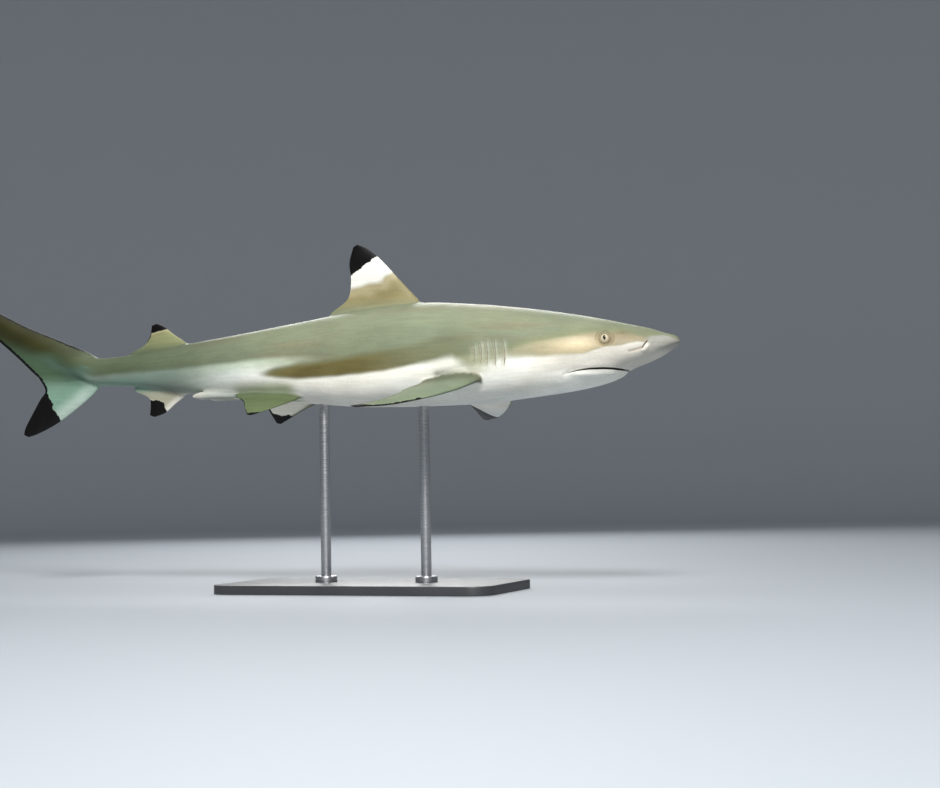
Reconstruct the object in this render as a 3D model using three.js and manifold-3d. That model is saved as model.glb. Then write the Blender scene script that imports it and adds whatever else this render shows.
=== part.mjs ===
// Blacktip reef shark (Carcharhinus melanopterus), adult male, as a life-size still model
// on a plain display stand.
//
// Frame: millimetres, +X towards the snout, +Y to the animal's left, +Z up.
// The origin is the centre of the underside of the stand's base.
//
// Every place on the animal is given as [station, side, height], in hundredths of its total
// length: the station runs back from the snout along the body's centre line, side is to the
// animal's left of that line, and height is above it. place() turns that into millimetres
// and bends the line where the tail swings to the right.
import * as THREE from 'three';
import Module from 'manifold-3d';
import { mergeVertices } from 'three/addons/utils/BufferGeometryUtils.js';

const wasm = await Module();
wasm.setup();

// ---------------------------------------------------------------- driving dimensions
const TOTAL_LENGTH = 1300;
const UNIT = TOTAL_LENGTH / 100;
const AXIS_HEIGHT = 360;
const ORIGIN_STATION = 38;
const GAP = 0.3;

const TAIL_BEND_START = 50;
const TAIL_BEND_DEGREES = 12.5;

// The body's profile: station, top, bottom, half width, height of the widest line.
const BODY_PROFILE = [
  [0, 0.15, 0.15, 0, 0.15],
  [0.5, 0.72, -0.28, 1.35, 0.05],
  [1.5, 1.12, -0.98, 2.3, -0.15],
  [3.5, 1.8, -1.92, 3.2, -0.45],
  [6, 2.42, -2.84, 3.8, -0.6],
  [8, 2.92, -4.0, 4.15, -0.6],
  [12, 3.78, -4.85, 4.9, -0.5],
  [18, 4.85, -5.5, 5.6, -0.35],
  [24, 5.65, -5.98, 5.95, -0.3],
  [31, 6.2, -6.02, 6.0, -0.3],
  [38, 5.8, -5.85, 5.65, -0.3],
  [46, 4.85, -5.15, 4.75, -0.3],
  [55, 3.75, -4.3, 3.7, -0.2],
  [63, 2.85, -3.22, 2.75, -0.1],
  [71, 1.85, -2.05, 1.9, 0],
  [76, 1.65, -1.82, 1.65, 0],
];
const UPPER_ROUNDNESS = 2.1;
const LOWER_ROUNDNESS = 2.25;
const BODY_RINGS = 42;
const BODY_SIDES = 28;

// Stations where the body is parted, and where each piece ends.
const BODY_PIECES = [
  ['head', 0, 16.8],
  ['shoulder', 16.8, 28.6],
  ['trunk', 28.6, 45.2],
  ['hind_trunk', 45.2, 58.5],
  ['tail', 58.5, 75.3],
];
const TAIL_END = 75.3;

// The mouth line runs from in front of the lower jaw to the corners. The jaw piece ends a hinge
// length behind them.
const MOUTH = {
  front: 5.4,
  frontHeight: -2.87,
  corner: 11.9,
  cornerHeight: -3.15,
  hinge: 0.6,
  depth: -8,
  halfWidth: 9,
};

const EYE = { station: 7.7, side: 3.15, height: 0.5, radius: 0.95 };
const BALL_SEGMENTS = [16, 9];
const NOSTRIL = { station: 3.3, side: 2.75, height: -0.75, radii: [0.5, 0.3, 0.42] };

const GILL_STATIONS = [18.9, 19.75, 20.55, 21.25, 22.1];
const GILL_SLIT = { width: 0.12, depth: 0.55 };
const GILL_TOPS = [1.2, 1.1, 0.9, 0.6, 0.2];
const GILL_BOTTOMS = [-2.4, -2.5, -2.5, -2.4, -2.0];

// Fins: places along the leading edge and along the trailing edge, from the root to the tip,
// and the thickness on the line that joins each pair. The first pair lies inside the body.
const FIRST_DORSAL = {
  leading: [
    [29.6, 0, 4.6], [31.2, 0, 6.4], [33.8, 0, 9.15],
    [36.6, 0, 12.1], [38.2, 0, 13.3], [39.25, 0, 13.8],
  ],
  trailing: [
    [41.6, 0, 4.6], [43.2, 0, 5.3], [40.65, 0, 7.3],
    [40.18, 0, 9.3], [40.38, 0, 11.6], [39.85, 0, 13.5],
  ],
  thickness: [1.5, 1.25, 0.95, 0.6, 0.35, 0.18],
  rows: 10,
};
const SECOND_DORSAL = {
  leading: [[61.8, 0, 1.9], [62.7, 0, 2.9], [64.6, 0, 4.15], [66.3, 0, 5.35], [67.2, 0, 5.7]],
  trailing: [[69.6, 0, 1.4], [71.4, 0, 1.85], [69, 0, 3.05], [68.2, 0, 4.1], [67.9, 0, 5.5]],
  thickness: [0.8, 0.62, 0.45, 0.28, 0.15],
  rows: 7,
};
const ANAL = {
  leading: [[62, 0, -2.2], [63, 0, -3.4], [64.6, 0, -4.5], [66.1, 0, -5.6], [67.6, 0, -6.05]],
  trailing: [[69.3, 0, -1.7], [70.6, 0, -2.45], [68.3, 0, -3.7], [68.15, 0, -4.9], [68.25, 0, -5.8]],
  thickness: [0.8, 0.62, 0.45, 0.28, 0.15],
  rows: 7,
};
const CAUDAL_UPPER = {
  leading: [
    [74.6, 0, 1.0], [76.5, 0, 2.2], [80.5, 0, 3.9], [85.9, 0, 6.15],
    [89.8, 0, 8.1], [93.4, 0, 9.85], [96.3, 0, 11.3], [98.6, 0, 12.55],
  ],
  trailing: [
    [75.6, 0, -1.4], [81.6, 0, -1.6], [83.7, 0, -0.85], [87.5, 0, 2.4],
    [90.6, 0, 5.0], [94.3, 0, 8.0], [97.4, 0, 9.35], [98.95, 0, 12.2],
  ],
  thickness: [1.3, 1.2, 0.95, 0.7, 0.5, 0.36, 0.26, 0.14],
  rows: 15,
};
const CAUDAL_LOWER = {
  leading: [
    [74.8, 0, -1], [75.9, 0, -2.42], [78.5, 0, -4.45],
    [81.7, 0, -6.5], [84.4, 0, -7.72], [85.7, 0, -8.1],
  ],
  trailing: [
    [84.3, 0, -0.4], [83.3, 0, -2.25], [84, 0, -3.25],
    [85.1, 0, -5.05], [86.2, 0, -7], [86.4, 0, -7.8],
  ],
  thickness: [1.0, 0.9, 0.7, 0.5, 0.3, 0.14],
  rows: 9,
};
// The end of the backbone, which runs up into the upper lobe: station, height, half height, half width.
const CAUDAL_AXIS = [
  [74.9, -0.08, 1.74, 1.68],
  [76.2, 0.02, 1.72, 1.6],
  [78, 0.6, 1.6, 1.4],
  [80.5, 1.85, 1.4, 1.1],
  [84, 3.7, 1.1, 0.78],
  [90, 6.95, 0.75, 0.42],
  [96.4, 10.4, 0.35, 0.18],
];

const CAUDAL_AXIS_RINGS = 11;
const CAUDAL_AXIS_SIDES = 16;
const LOBE_LINE = { front: [73, -0.9], rear: [90, -2.1], depth: -12, halfWidth: 9 };

// Paired fins, on the left side.
const PECTORAL = {
  leading: [
    [21, 3, -2.7], [21.7, 5.1, -3.35], [22.9, 9.1, -4.6],
    [25.1, 13.6, -5.8], [27.7, 17.5, -6.65], [30.2, 20.1, -6.9],
  ],
  trailing: [
    [26.9, 3.6, -2.7], [30.3, 7.2, -4.4], [29.65, 10.2, -4.95],
    [29.95, 14.3, -5.85], [30.6, 17.8, -6.45], [31.1, 20.2, -6.8],
  ],
  thickness: [1.5, 1.2, 0.85, 0.55, 0.32, 0.18],
  rows: 11,
};
const PELVIC = {
  leading: [
    [44.9, 1.2, -3.4], [45.3, 2.75, -4.38], [47.8, 3.3, -5.32], [50.3, 4.05, -6.15], [51.6, 4.35, -6.5],
  ],
  trailing: [
    [50.6, 1, -3.2], [54.8, 2.5, -3.9], [53.4, 3, -4.75], [52.9, 3.6, -5.5], [52.2, 4.3, -6.4],
  ],
  thickness: [0.8, 0.62, 0.45, 0.28, 0.15],
  rows: 7,
};
// How far each pelvic fin's tip is swung from the mirrored shape: station, side, height.
const PELVIC_SWING = { left: [0.5, 0, -0.75], right: [0, 0, 0] };
const CLASPER = {
  line: [[51.6, 1.35, -3.3], [54, 1.75, -3.65], [57.2, 1.95, -3.7], [59.6, 2, -3.74], [60.9, 2, -3.82]],
  radius: [0.5, 0.6, 0.56, 0.52, 0.2],
  rings: 9,
  sides: 12,
};
const FIN_CHORD_STEPS = 6;
const FIN_EDGE_THICKNESS = 0.7;

// The cutting blocks reach this far from the centre line, and follow its bend in steps this long.
const BLOCK = { reach: 30, step: 4, frontMargin: 5, front: 60 };
const CENTRE_LINE_STEPS = 24;
const MERGE_DISTANCE = 1e-3;
const CUT_MARGIN = 1;

const BASE = { length: 460, width: 220, height: 14, corner: 36, chamfer: 2 };
const BASE_CORNER_SEGMENTS = 3;
const ROD = { stations: [31, 44], radius: 8, socketDepth: 26, sides: 16 };
const COLLAR = { radius: 17, height: 9 };
const ROD_NAMES = ['front', 'rear'];

const MATERIALS = {
  skin: { color: 0x8f9a7a, roughness: 0.5, metalness: 0 },
  fin: { color: 0x8c9678, roughness: 0.5, metalness: 0 },
  pale: { color: 0xcdc9b4, roughness: 0.5, metalness: 0 },
  eye: { color: 0xb9b296, roughness: 0.1, metalness: 0 },
  base: { color: 0x26282a, roughness: 0.4, metalness: 0 },
  rod: { color: 0xb4b6b8, roughness: 0.3, metalness: 1 },
};

// ---------------------------------------------------------------- places and curves
function bendAngle(station) {
  const reach = Math.max(0, (station - TAIL_BEND_START) / (100 - TAIL_BEND_START));
  return THREE.MathUtils.degToRad(TAIL_BEND_DEGREES) * reach * reach;
}

// The centre line is straight to the bend's start and then summed in short steps.
function centreLine(station) {
  const start = Math.min(station, TAIL_BEND_START);
  const point = new THREE.Vector2(ORIGIN_STATION - start, 0);
  const step = (station - start) / CENTRE_LINE_STEPS;
  for (let i = 0; i < CENTRE_LINE_STEPS; i += 1) {
    const angle = bendAngle(start + (i + 0.5) * step);
    point.x -= step * Math.cos(angle);
    point.y -= step * Math.sin(angle);
  }
  return point;
}

function place([station, side, height]) {
  const angle = bendAngle(station);
  const centre = centreLine(station);
  return new THREE.Vector3(
    (centre.x - side * Math.sin(angle)) * UNIT,
    (centre.y + side * Math.cos(angle)) * UNIT,
    height * UNIT + AXIS_HEIGHT,
  );
}

// Cubic interpolation that never overshoots its points.
function smooth(xs, ys, x) {
  const last = xs.length - 1;
  const slopes = xs.slice(1).map((value, i) => (ys[i + 1] - ys[i]) / (value - xs[i]));
  const tangent = (i) => {
    if (i === 0) return slopes[0];
    if (i === last) return slopes[last - 1];
    const [before, after] = [slopes[i - 1], slopes[i]];
    return before * after <= 0 ? 0 : (2 * before * after) / (before + after);
  };
  let k = 0;
  while (k < last - 1 && x > xs[k + 1]) k += 1;
  const width = xs[k + 1] - xs[k];
  const t = (x - xs[k]) / width;
  const startWeight = (1 + 2 * t) * (1 - t) * (1 - t);
  const endWeight = t * t * (3 - 2 * t);
  const startTangent = t * (1 - t) * (1 - t) * width * tangent(k);
  const endTangent = -t * t * (1 - t) * width * tangent(k + 1);
  return startWeight * ys[k] + endWeight * ys[k + 1] + startTangent + endTangent;
}

// Reads one column of a table at a station. The root of the station rounds the snout.
function profileAt(table, station, column) {
  const xs = table.map((row) => Math.sqrt(row[0]));
  const ys = table.map((row) => row[column]);
  return smooth(xs, ys, Math.sqrt(station));
}

function signedPower(value, power) {
  return Math.sign(value) * Math.abs(value) ** power;
}

// ---------------------------------------------------------------- solids
// A closed loft through rings of equal count, with a fan over each end.
function loft(rings) {
  const count = rings[0].length;
  const points = rings.flat();
  const faces = [];
  for (let r = 0; r < rings.length - 1; r += 1) {
    for (let i = 0; i < count; i += 1) {
      const a = r * count + i;
      const b = r * count + ((i + 1) % count);
      faces.push([a, b, b + count], [a, b + count, a + count]);
    }
  }
  const fan = (ring, offset, flip) => {
    const centre = ring.reduce((sum, p) => sum.add(p), new THREE.Vector3()).divideScalar(count);
    points.push(centre);
    for (let i = 0; i < count; i += 1) {
      const [a, b] = [offset + i, offset + ((i + 1) % count)];
      faces.push(flip ? [points.length - 1, b, a] : [points.length - 1, a, b]);
    }
  };
  fan(rings[0], 0, true);
  fan(rings[rings.length - 1], (rings.length - 1) * count, false);
  return outward(points, faces);
}

function outward(points, faces) {
  const six = faces.reduce((sum, [a, b, c]) => (
    sum + points[a].dot(new THREE.Vector3().crossVectors(points[b], points[c]))
  ), 0);
  const wound = six < 0 ? faces.map(([a, b, c]) => [a, c, b]) : faces;
  const geometry = new THREE.BufferGeometry();
  const coordinates = points.flatMap((p) => p.toArray());
  geometry.setAttribute('position', new THREE.Float32BufferAttribute(coordinates, 3));
  geometry.setIndex(wound.flat());
  return solid(geometry);
}

function solid(geometry) {
  const bare = geometry.index ? geometry.clone() : geometry;
  bare.deleteAttribute('normal');
  bare.deleteAttribute('uv');
  const merged = mergeVertices(bare, MERGE_DISTANCE);
  return new wasm.Manifold(new wasm.Mesh({
    numProp: 3,
    vertProperties: new Float32Array(merged.attributes.position.array),
    triVerts: new Uint32Array(merged.index.array),
  }));
}

function node(name, manifold, look) {
  const { vertProperties, triVerts } = manifold.getMesh();
  const geometry = new THREE.BufferGeometry();
  geometry.setAttribute('position', new THREE.Float32BufferAttribute(vertProperties, 3));
  geometry.setIndex(Array.from(triVerts));
  geometry.computeVertexNormals();
  const mesh = new THREE.Mesh(geometry, new THREE.MeshStandardMaterial(MATERIALS[look]));
  mesh.name = name;
  return mesh;
}

// ---------------------------------------------------------------- body
function bodyRing(station, grow) {
  const [top, bottom, halfWidth, middle] = [1, 2, 3, 4].map((c) => profileAt(BODY_PROFILE, station, c));
  return Array.from({ length: BODY_SIDES }, (_, i) => {
    const angle = (2 * Math.PI * i) / BODY_SIDES;
    const roundness = Math.sin(angle) > 0 ? UPPER_ROUNDNESS : LOWER_ROUNDNESS;
    const across = signedPower(Math.cos(angle), 2 / roundness);
    const up = signedPower(Math.sin(angle), 2 / roundness);
    const reach = up > 0 ? top - middle : middle - bottom;
    return place([station, (halfWidth + grow) * across, middle + (reach + grow) * up]);
  });
}

// The whole body from the snout to the tail's root, grown outwards by a gap in millimetres.
function body(gap = 0) {
  const grow = gap / UNIT;
  const end = BODY_PROFILE[BODY_PROFILE.length - 1][0];
  const rings = Array.from({ length: BODY_RINGS }, (_, i) => (
    bodyRing(end * ((i + 0.35) / (BODY_RINGS - 0.65)) ** 1.5, grow)
  ));
  return loft(rings);
}

// A block between two stations that holds everything of the animal between them.
function stationBlock(from, to) {
  const { reach, step } = BLOCK;
  const ring = (station) => [[-reach, -reach], [reach, -reach], [reach, reach], [-reach, reach]]
    .map(([side, height]) => place([station, side, height]));
  const lengths = Math.ceil((to - from) / step);
  return loft(Array.from({ length: lengths + 1 }, (_, i) => ring(from + ((to - from) * i) / lengths)));
}

// The space below the mouth line, from in front of the jaw back to the mouth's corners.
function jawBlock(gap) {
  const lift = gap / UNIT;
  const back = MOUTH.corner + MOUTH.hinge + lift;
  const corners = [
    [MOUTH.front, MOUTH.frontHeight + lift],
    [MOUTH.corner, MOUTH.cornerHeight + lift],
    [back, MOUTH.cornerHeight - MOUTH.hinge],
    [back, MOUTH.depth],
    [MOUTH.front, MOUTH.depth],
  ];
  const outline = (side) => corners.map(([station, height]) => place([station, side, height]));
  return loft([outline(-MOUTH.halfWidth), outline(MOUTH.halfWidth)]);
}

function ball(centre, radii) {
  const geometry = new THREE.SphereGeometry(1, ...BALL_SEGMENTS);
  geometry.scale(...radii.map((r) => r * UNIT));
  geometry.translate(...place(centre).toArray());
  return solid(geometry);
}

function eye(sign, gap = 0) {
  const radius = EYE.radius + gap / UNIT;
  return ball([EYE.station, sign * EYE.side, EYE.height], [radius, radius, radius]);
}

function nostril(sign) {
  return ball([NOSTRIL.station, sign * NOSTRIL.side, NOSTRIL.height], NOSTRIL.radii);
}

function gillSlit(index, sign) {
  const [top, bottom] = [GILL_TOPS[index], GILL_BOTTOMS[index]];
  const station = GILL_STATIONS[index];
  const side = profileAt(BODY_PROFILE, station, 3);
  const length = GILL_SLIT.width * UNIT;
  const blade = new THREE.BoxGeometry(length, 2 * GILL_SLIT.depth * UNIT, (top - bottom) * UNIT);
  blade.translate(...place([station, sign * side, (top + bottom) / 2]).toArray());
  return solid(blade);
}

// ---------------------------------------------------------------- fins
function curveThrough(places) {
  return new THREE.CatmullRomCurve3(places.map((p) => new THREE.Vector3(...p)), false, 'centripetal');
}

// Half thickness of a fin's section, as a share of its full thickness, at a place along its chord.
function sectionShare(u) {
  return 5 * (0.2969 * Math.sqrt(u) - 0.126 * u - 0.3516 * u ** 2 + 0.2843 * u ** 3 - 0.1015 * u ** 4);
}

function finRing(front, rear, thickness, normal) {
  const edge = FIN_EDGE_THICKNESS / 2 / UNIT;
  const upper = [];
  const lower = [];
  for (let i = 0; i <= FIN_CHORD_STEPS; i += 1) {
    const u = (1 - Math.cos((Math.PI * i) / FIN_CHORD_STEPS)) / 2;
    const half = i === 0 ? 0 : Math.max(thickness * sectionShare(u), edge);
    const middle = front.clone().lerp(rear, u);
    upper.push(place(middle.clone().addScaledVector(normal, half).toArray()));
    if (i > 0) lower.unshift(place(middle.clone().addScaledVector(normal, -half).toArray()));
  }
  return [...upper, ...lower];
}

function fin({ leading, trailing, thickness, rows }, normal, swing = [0, 0, 0]) {
  const front = curveThrough(leading);
  const rear = curveThrough(trailing);
  const indices = thickness.map((_, i) => i / (thickness.length - 1));
  const rings = Array.from({ length: rows }, (_, i) => {
    const t = i / (rows - 1);
    const shift = new THREE.Vector3(...swing).multiplyScalar(t * t);
    const [a, b] = [front.getPoint(t).add(shift), rear.getPoint(t).add(shift)];
    return finRing(a, b, smooth(indices, thickness, t), normal);
  });
  return loft(rings);
}

function mirrored(shape, sign) {
  const flip = (places) => places.map(([station, side, height]) => [station, sign * side, height]);
  return { ...shape, leading: flip(shape.leading), trailing: flip(shape.trailing) };
}

// The direction square to a paired fin's blade, from its root, tip and free rear tip.
function bladeNormal({ leading, trailing }) {
  const root = new THREE.Vector3(...leading[1]);
  const toTip = new THREE.Vector3(...leading[leading.length - 1]).sub(root);
  const toRear = new THREE.Vector3(...trailing[1]).sub(root);
  return toTip.cross(toRear).normalize();
}

const ACROSS = new THREE.Vector3(0, 1, 0);

function pairedFin(shape, sign, swing) {
  const sided = mirrored(shape, sign);
  return fin(sided, bladeNormal(sided), swing);
}

function clasper(sign, gap = 0) {
  const line = curveThrough(CLASPER.line.map(([station, side, height]) => [station, sign * side, height]));
  const indices = CLASPER.radius.map((_, i) => i / (CLASPER.radius.length - 1));
  const rings = Array.from({ length: CLASPER.rings }, (_, i) => {
    const t = i / (CLASPER.rings - 1);
    const centre = line.getPoint(t);
    const radius = smooth(indices, CLASPER.radius, t) + gap / UNIT;
    return Array.from({ length: CLASPER.sides }, (__, k) => {
      const angle = (2 * Math.PI * k) / CLASPER.sides;
      return place([centre.x, centre.y + radius * Math.cos(angle), centre.z + radius * Math.sin(angle)]);
    });
  });
  return loft(rings);
}

function caudalAxis() {
  const [first, last] = [CAUDAL_AXIS[0][0], CAUDAL_AXIS[CAUDAL_AXIS.length - 1][0]];
  const rings = Array.from({ length: CAUDAL_AXIS_RINGS }, (_, i) => {
    const station = first + ((last - first) * i) / (CAUDAL_AXIS_RINGS - 1);
    const [height, halfHeight, halfWidth] = [1, 2, 3].map((c) => profileAt(CAUDAL_AXIS, station, c));
    return Array.from({ length: CAUDAL_AXIS_SIDES }, (__, k) => {
      const angle = (2 * Math.PI * k) / CAUDAL_AXIS_SIDES;
      return place([station, halfWidth * Math.cos(angle), height + halfHeight * Math.sin(angle)]);
    });
  });
  return loft(rings);
}

// The space under the line that parts the two lobes, cut straight across the fin.
function underLobeLine(lift) {
  const { front, rear, depth, halfWidth } = LOBE_LINE;
  const outline = (side) => [
    [front[0], front[1] + lift],
    [rear[0], rear[1] + lift],
    [rear[0], depth],
    [front[0], depth],
  ].map(([station, height]) => place([station, side, height]));
  return loft([outline(-halfWidth), outline(halfWidth)]);
}

function caudalLobes() {
  const both = caudalAxis()
    .add(fin(CAUDAL_UPPER, ACROSS))
    .add(fin(CAUDAL_LOWER, ACROSS))
    .subtract(stationBlock(BLOCK.front, TAIL_END + GAP / UNIT));
  return { upper: both.subtract(underLobeLine(GAP / UNIT)), lower: both.intersect(underLobeLine(0)) };
}

// ---------------------------------------------------------------- stand
function rodCentre(index) {
  return place([ROD.stations[index], 0, 0]);
}

function column(radius, bottom, top, centre) {
  const geometry = new THREE.CylinderGeometry(radius, radius, top - bottom, ROD.sides);
  geometry.rotateX(Math.PI / 2);
  geometry.translate(centre.x, centre.y, (top + bottom) / 2);
  return solid(geometry);
}

function rodTop(index) {
  const belly = profileAt(BODY_PROFILE, ROD.stations[index], 2) * UNIT + AXIS_HEIGHT;
  return belly + ROD.socketDepth;
}

function rod(index, gap = 0) {
  return column(ROD.radius + gap, BASE.height + GAP, rodTop(index) + gap, rodCentre(index));
}

function collar(index) {
  const [bottom, top] = [BASE.height + GAP, BASE.height + GAP + COLLAR.height];
  const ring = column(COLLAR.radius, bottom, top, rodCentre(index));
  return ring.subtract(column(ROD.radius + GAP, bottom - CUT_MARGIN, top + CUT_MARGIN, rodCentre(index)));
}

function base() {
  const { length, width, height, corner, chamfer } = BASE;
  const [x, y, r] = [length / 2 - chamfer, width / 2 - chamfer, corner - chamfer];
  const outline = new THREE.Shape();
  outline.moveTo(-x + r, -y);
  outline.lineTo(x - r, -y);
  outline.absarc(x - r, -y + r, r, -Math.PI / 2, 0);
  outline.absarc(x - r, y - r, r, 0, Math.PI / 2);
  outline.absarc(-x + r, y - r, r, Math.PI / 2, Math.PI);
  outline.absarc(-x + r, -y + r, r, Math.PI, 1.5 * Math.PI);
  const plate = new THREE.ExtrudeGeometry(outline, {
    depth: height - 2 * chamfer,
    bevelThickness: chamfer,
    bevelSize: chamfer,
    bevelSegments: 1,
    curveSegments: BASE_CORNER_SEGMENTS,
  });
  plate.translate(0, 0, chamfer);
  return solid(plate);
}

// ---------------------------------------------------------------- assembly
const SIDES = [['left', 1], ['right', -1]];

const shark = new THREE.Group();
const whole = body();
const clear = body(GAP);
const lowerJaw = whole.intersect(jawBlock(0));

// What is cut out of each piece of the body: the mouth, eyes and nostrils, gills, and rods' sockets.
const CUTS = {
  head: [jawBlock(2 * GAP), ...SIDES.flatMap(([, sign]) => [eye(sign, GAP), nostril(sign)])],
  shoulder: SIDES.flatMap(([, sign]) => GILL_STATIONS.map((_, i) => gillSlit(i, sign))),
  trunk: ROD_NAMES.map((_, i) => rod(i, GAP)),
};

for (const [name, from, to] of BODY_PIECES) {
  const start = from === 0 ? -BLOCK.frontMargin : from;
  const block = whole.intersect(stationBlock(start, to - GAP / UNIT));
  const piece = (CUTS[name] ?? []).reduce((rest, cut) => rest.subtract(cut), block);
  shark.add(node(name, piece, 'skin'));
}
shark.add(node('lower_jaw', lowerJaw, 'pale'));
shark.add(node('first_dorsal_fin', fin(FIRST_DORSAL, ACROSS).subtract(clear), 'fin'));
shark.add(node('second_dorsal_fin', fin(SECOND_DORSAL, ACROSS).subtract(clear), 'fin'));
shark.add(node('anal_fin', fin(ANAL, ACROSS).subtract(clear), 'pale'));
for (const [lobe, piece] of Object.entries(caudalLobes())) {
  shark.add(node(`caudal_fin_${lobe}`, piece, 'fin'));
}

for (const [side, sign] of SIDES) {
  shark.add(node(`eye_${side}`, eye(sign), 'eye'));
  shark.add(node(`pectoral_fin_${side}`, pairedFin(PECTORAL, sign).subtract(clear), 'fin'));
  const pelvic = pairedFin(PELVIC, sign, PELVIC_SWING[side]);
  shark.add(node(`pelvic_fin_${side}`, pelvic.subtract(clear).subtract(clasper(sign, GAP)), 'fin'));
  shark.add(node(`clasper_${side}`, clasper(sign).subtract(clear), 'pale'));
}

shark.add(node('stand_base', base(), 'base'));
ROD_NAMES.forEach((name, i) => {
  shark.add(node(`stand_rod_${name}`, rod(i), 'rod'));
  shark.add(node(`stand_collar_${name}`, collar(i), 'rod'));
});

export default shark;
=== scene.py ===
import math
from contextlib import contextmanager

import bmesh
import bpy
import numpy as np
from mathutils import Matrix, Vector
from mathutils.bvhtree import BVHTree


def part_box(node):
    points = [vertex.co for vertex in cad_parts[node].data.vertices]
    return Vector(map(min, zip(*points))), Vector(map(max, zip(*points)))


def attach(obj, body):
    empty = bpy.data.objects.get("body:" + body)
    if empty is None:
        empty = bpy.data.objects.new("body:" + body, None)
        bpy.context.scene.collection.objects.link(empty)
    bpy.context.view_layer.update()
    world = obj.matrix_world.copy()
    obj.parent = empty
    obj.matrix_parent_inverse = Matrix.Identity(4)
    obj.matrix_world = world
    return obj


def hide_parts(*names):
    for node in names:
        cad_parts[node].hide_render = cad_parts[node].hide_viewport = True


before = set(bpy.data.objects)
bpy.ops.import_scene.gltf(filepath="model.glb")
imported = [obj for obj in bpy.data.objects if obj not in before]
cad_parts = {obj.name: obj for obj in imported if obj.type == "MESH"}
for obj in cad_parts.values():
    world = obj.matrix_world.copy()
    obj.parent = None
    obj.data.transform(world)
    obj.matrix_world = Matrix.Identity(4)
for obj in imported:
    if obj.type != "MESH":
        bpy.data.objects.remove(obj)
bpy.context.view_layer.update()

# Places on the animal are [station, side, height] in hundredths of its total length, as in the
# CAD part: station runs back from the snout along the centre line, side is to the animal's left
# and height is above the line. UNIT is one hundredth of the length, in metres.
UNIT = 0.013
MM = 0.001
AXIS_HEIGHT = 0.36
ORIGIN_STATION = 38
BEND_START = 50
BEND_ANGLE = math.radians(12.5)
LENGTH = 100
SNOUT_TIP, TAIL_END = [0, 0, 0.15], [96.55, 0, 10.45]
# The columns of a place that are seen from the side and from above, and the animal's left and right.
FROM_SIDE, FROM_ABOVE = [0, 2], [0, 1]
SIGNS = (1, -1)

# station, top, bottom, half width, height of the widest line
BODY_PROFILE = np.array([
    [0, 0.15, 0.15, 0, 0.15],
    [0.5, 0.84, -0.34, 1.35, 0.08],
    [1.5, 1.12, -0.98, 2.3, -0.15],
    [3.5, 1.8, -1.92, 3.2, -0.45],
    [6, 2.42, -2.84, 3.8, -0.6],
    [8, 2.92, -4.0, 4.15, -0.6],
    [12, 3.78, -4.85, 4.9, -0.5],
    [18, 4.85, -5.5, 5.6, -0.35],
    [24, 5.65, -5.98, 5.95, -0.3],
    [31, 6.2, -6.02, 6.0, -0.3],
    [38, 5.8, -5.85, 5.65, -0.3],
    [46, 4.85, -5.15, 4.75, -0.3],
    [55, 3.75, -4.3, 3.7, -0.2],
    [63, 2.85, -3.22, 2.75, -0.1],
    [71, 1.85, -2.05, 1.9, 0],
    [74.9, 1.66, -1.82, 1.68, -0.08],
    [76.2, 1.74, -1.7, 1.6, 0.02],
    [78, 2.2, -1.0, 1.4, 0.6],
    [80.5, 3.25, 0.45, 1.1, 1.85],
    [84, 4.8, 2.6, 0.78, 3.7],
    [90, 7.7, 6.2, 0.42, 6.95],
    [96.4, 10.75, 10.05, 0.18, 10.4],
])
UPPER_ROUNDNESS = 2.1
LOWER_ROUNDNESS = 2.25
SIDES = 160

def median_fin(leading, trailing, thickness):
    """A fin in the middle plane: (station, height) places along its edges, and its thickness on each pair."""
    leading, trailing = ([[station, 0, height] for station, height in edge] for edge in (leading, trailing))
    return {"leading": leading, "trailing": trailing, "thickness": thickness}


SMALL_FIN = [0.8, 0.62, 0.45, 0.28, 0.15]
FIRST_DORSAL = median_fin(
    leading=[(29.6, 4.6), (31.2, 6.4), (33.8, 9.15), (36.6, 12.1), (38.2, 13.3), (39.25, 13.8)],
    trailing=[(41.6, 4.6), (43.2, 5.3), (40.65, 7.3), (40.18, 9.3), (40.38, 11.6), (39.85, 13.5)],
    thickness=[1.5, 1.25, 0.95, 0.6, 0.35, 0.18],
)
SECOND_DORSAL = median_fin(
    leading=[(61.8, 1.9), (62.7, 2.9), (64.6, 4.15), (66.3, 5.35), (67.2, 5.7)],
    trailing=[(69.6, 1.4), (71.4, 1.85), (69, 3.05), (68.2, 4.1), (67.9, 5.5)],
    thickness=SMALL_FIN,
)
ANAL = median_fin(
    leading=[(62, -2.2), (63, -3.4), (64.6, -4.5), (66.1, -5.6), (67.6, -6.05)],
    trailing=[(69.3, -1.7), (70.6, -2.45), (68.3, -3.7), (68.15, -4.9), (68.25, -5.8)],
    thickness=SMALL_FIN,
)
CAUDAL_UPPER = median_fin(
    leading=[(74.6, 1.0), (76.5, 2.2), (80.5, 3.9), (85.9, 6.15),
             (89.8, 8.1), (93.4, 9.85), (96.3, 11.3), (98.6, 12.55)],
    trailing=[(75.6, -1.4), (81.6, -1.6), (83.7, -0.85), (87.5, 2.4),
              (90.6, 5.0), (94.3, 8.0), (97.4, 9.35), (98.95, 12.2)],
    thickness=[1.3, 1.2, 0.95, 0.7, 0.5, 0.36, 0.26, 0.14],
)
CAUDAL_LOWER = median_fin(
    leading=[(74.8, -1), (75.9, -2.42), (78.5, -4.45), (81.7, -6.5), (84.4, -7.72), (85.7, -8.1)],
    trailing=[(84.3, -0.4), (83.3, -2.25), (84, -3.25), (85.1, -5.05), (86.2, -7), (86.4, -7.8)],
    thickness=[0.3, 0.75, 0.7, 0.5, 0.3, 0.14],
)
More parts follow.
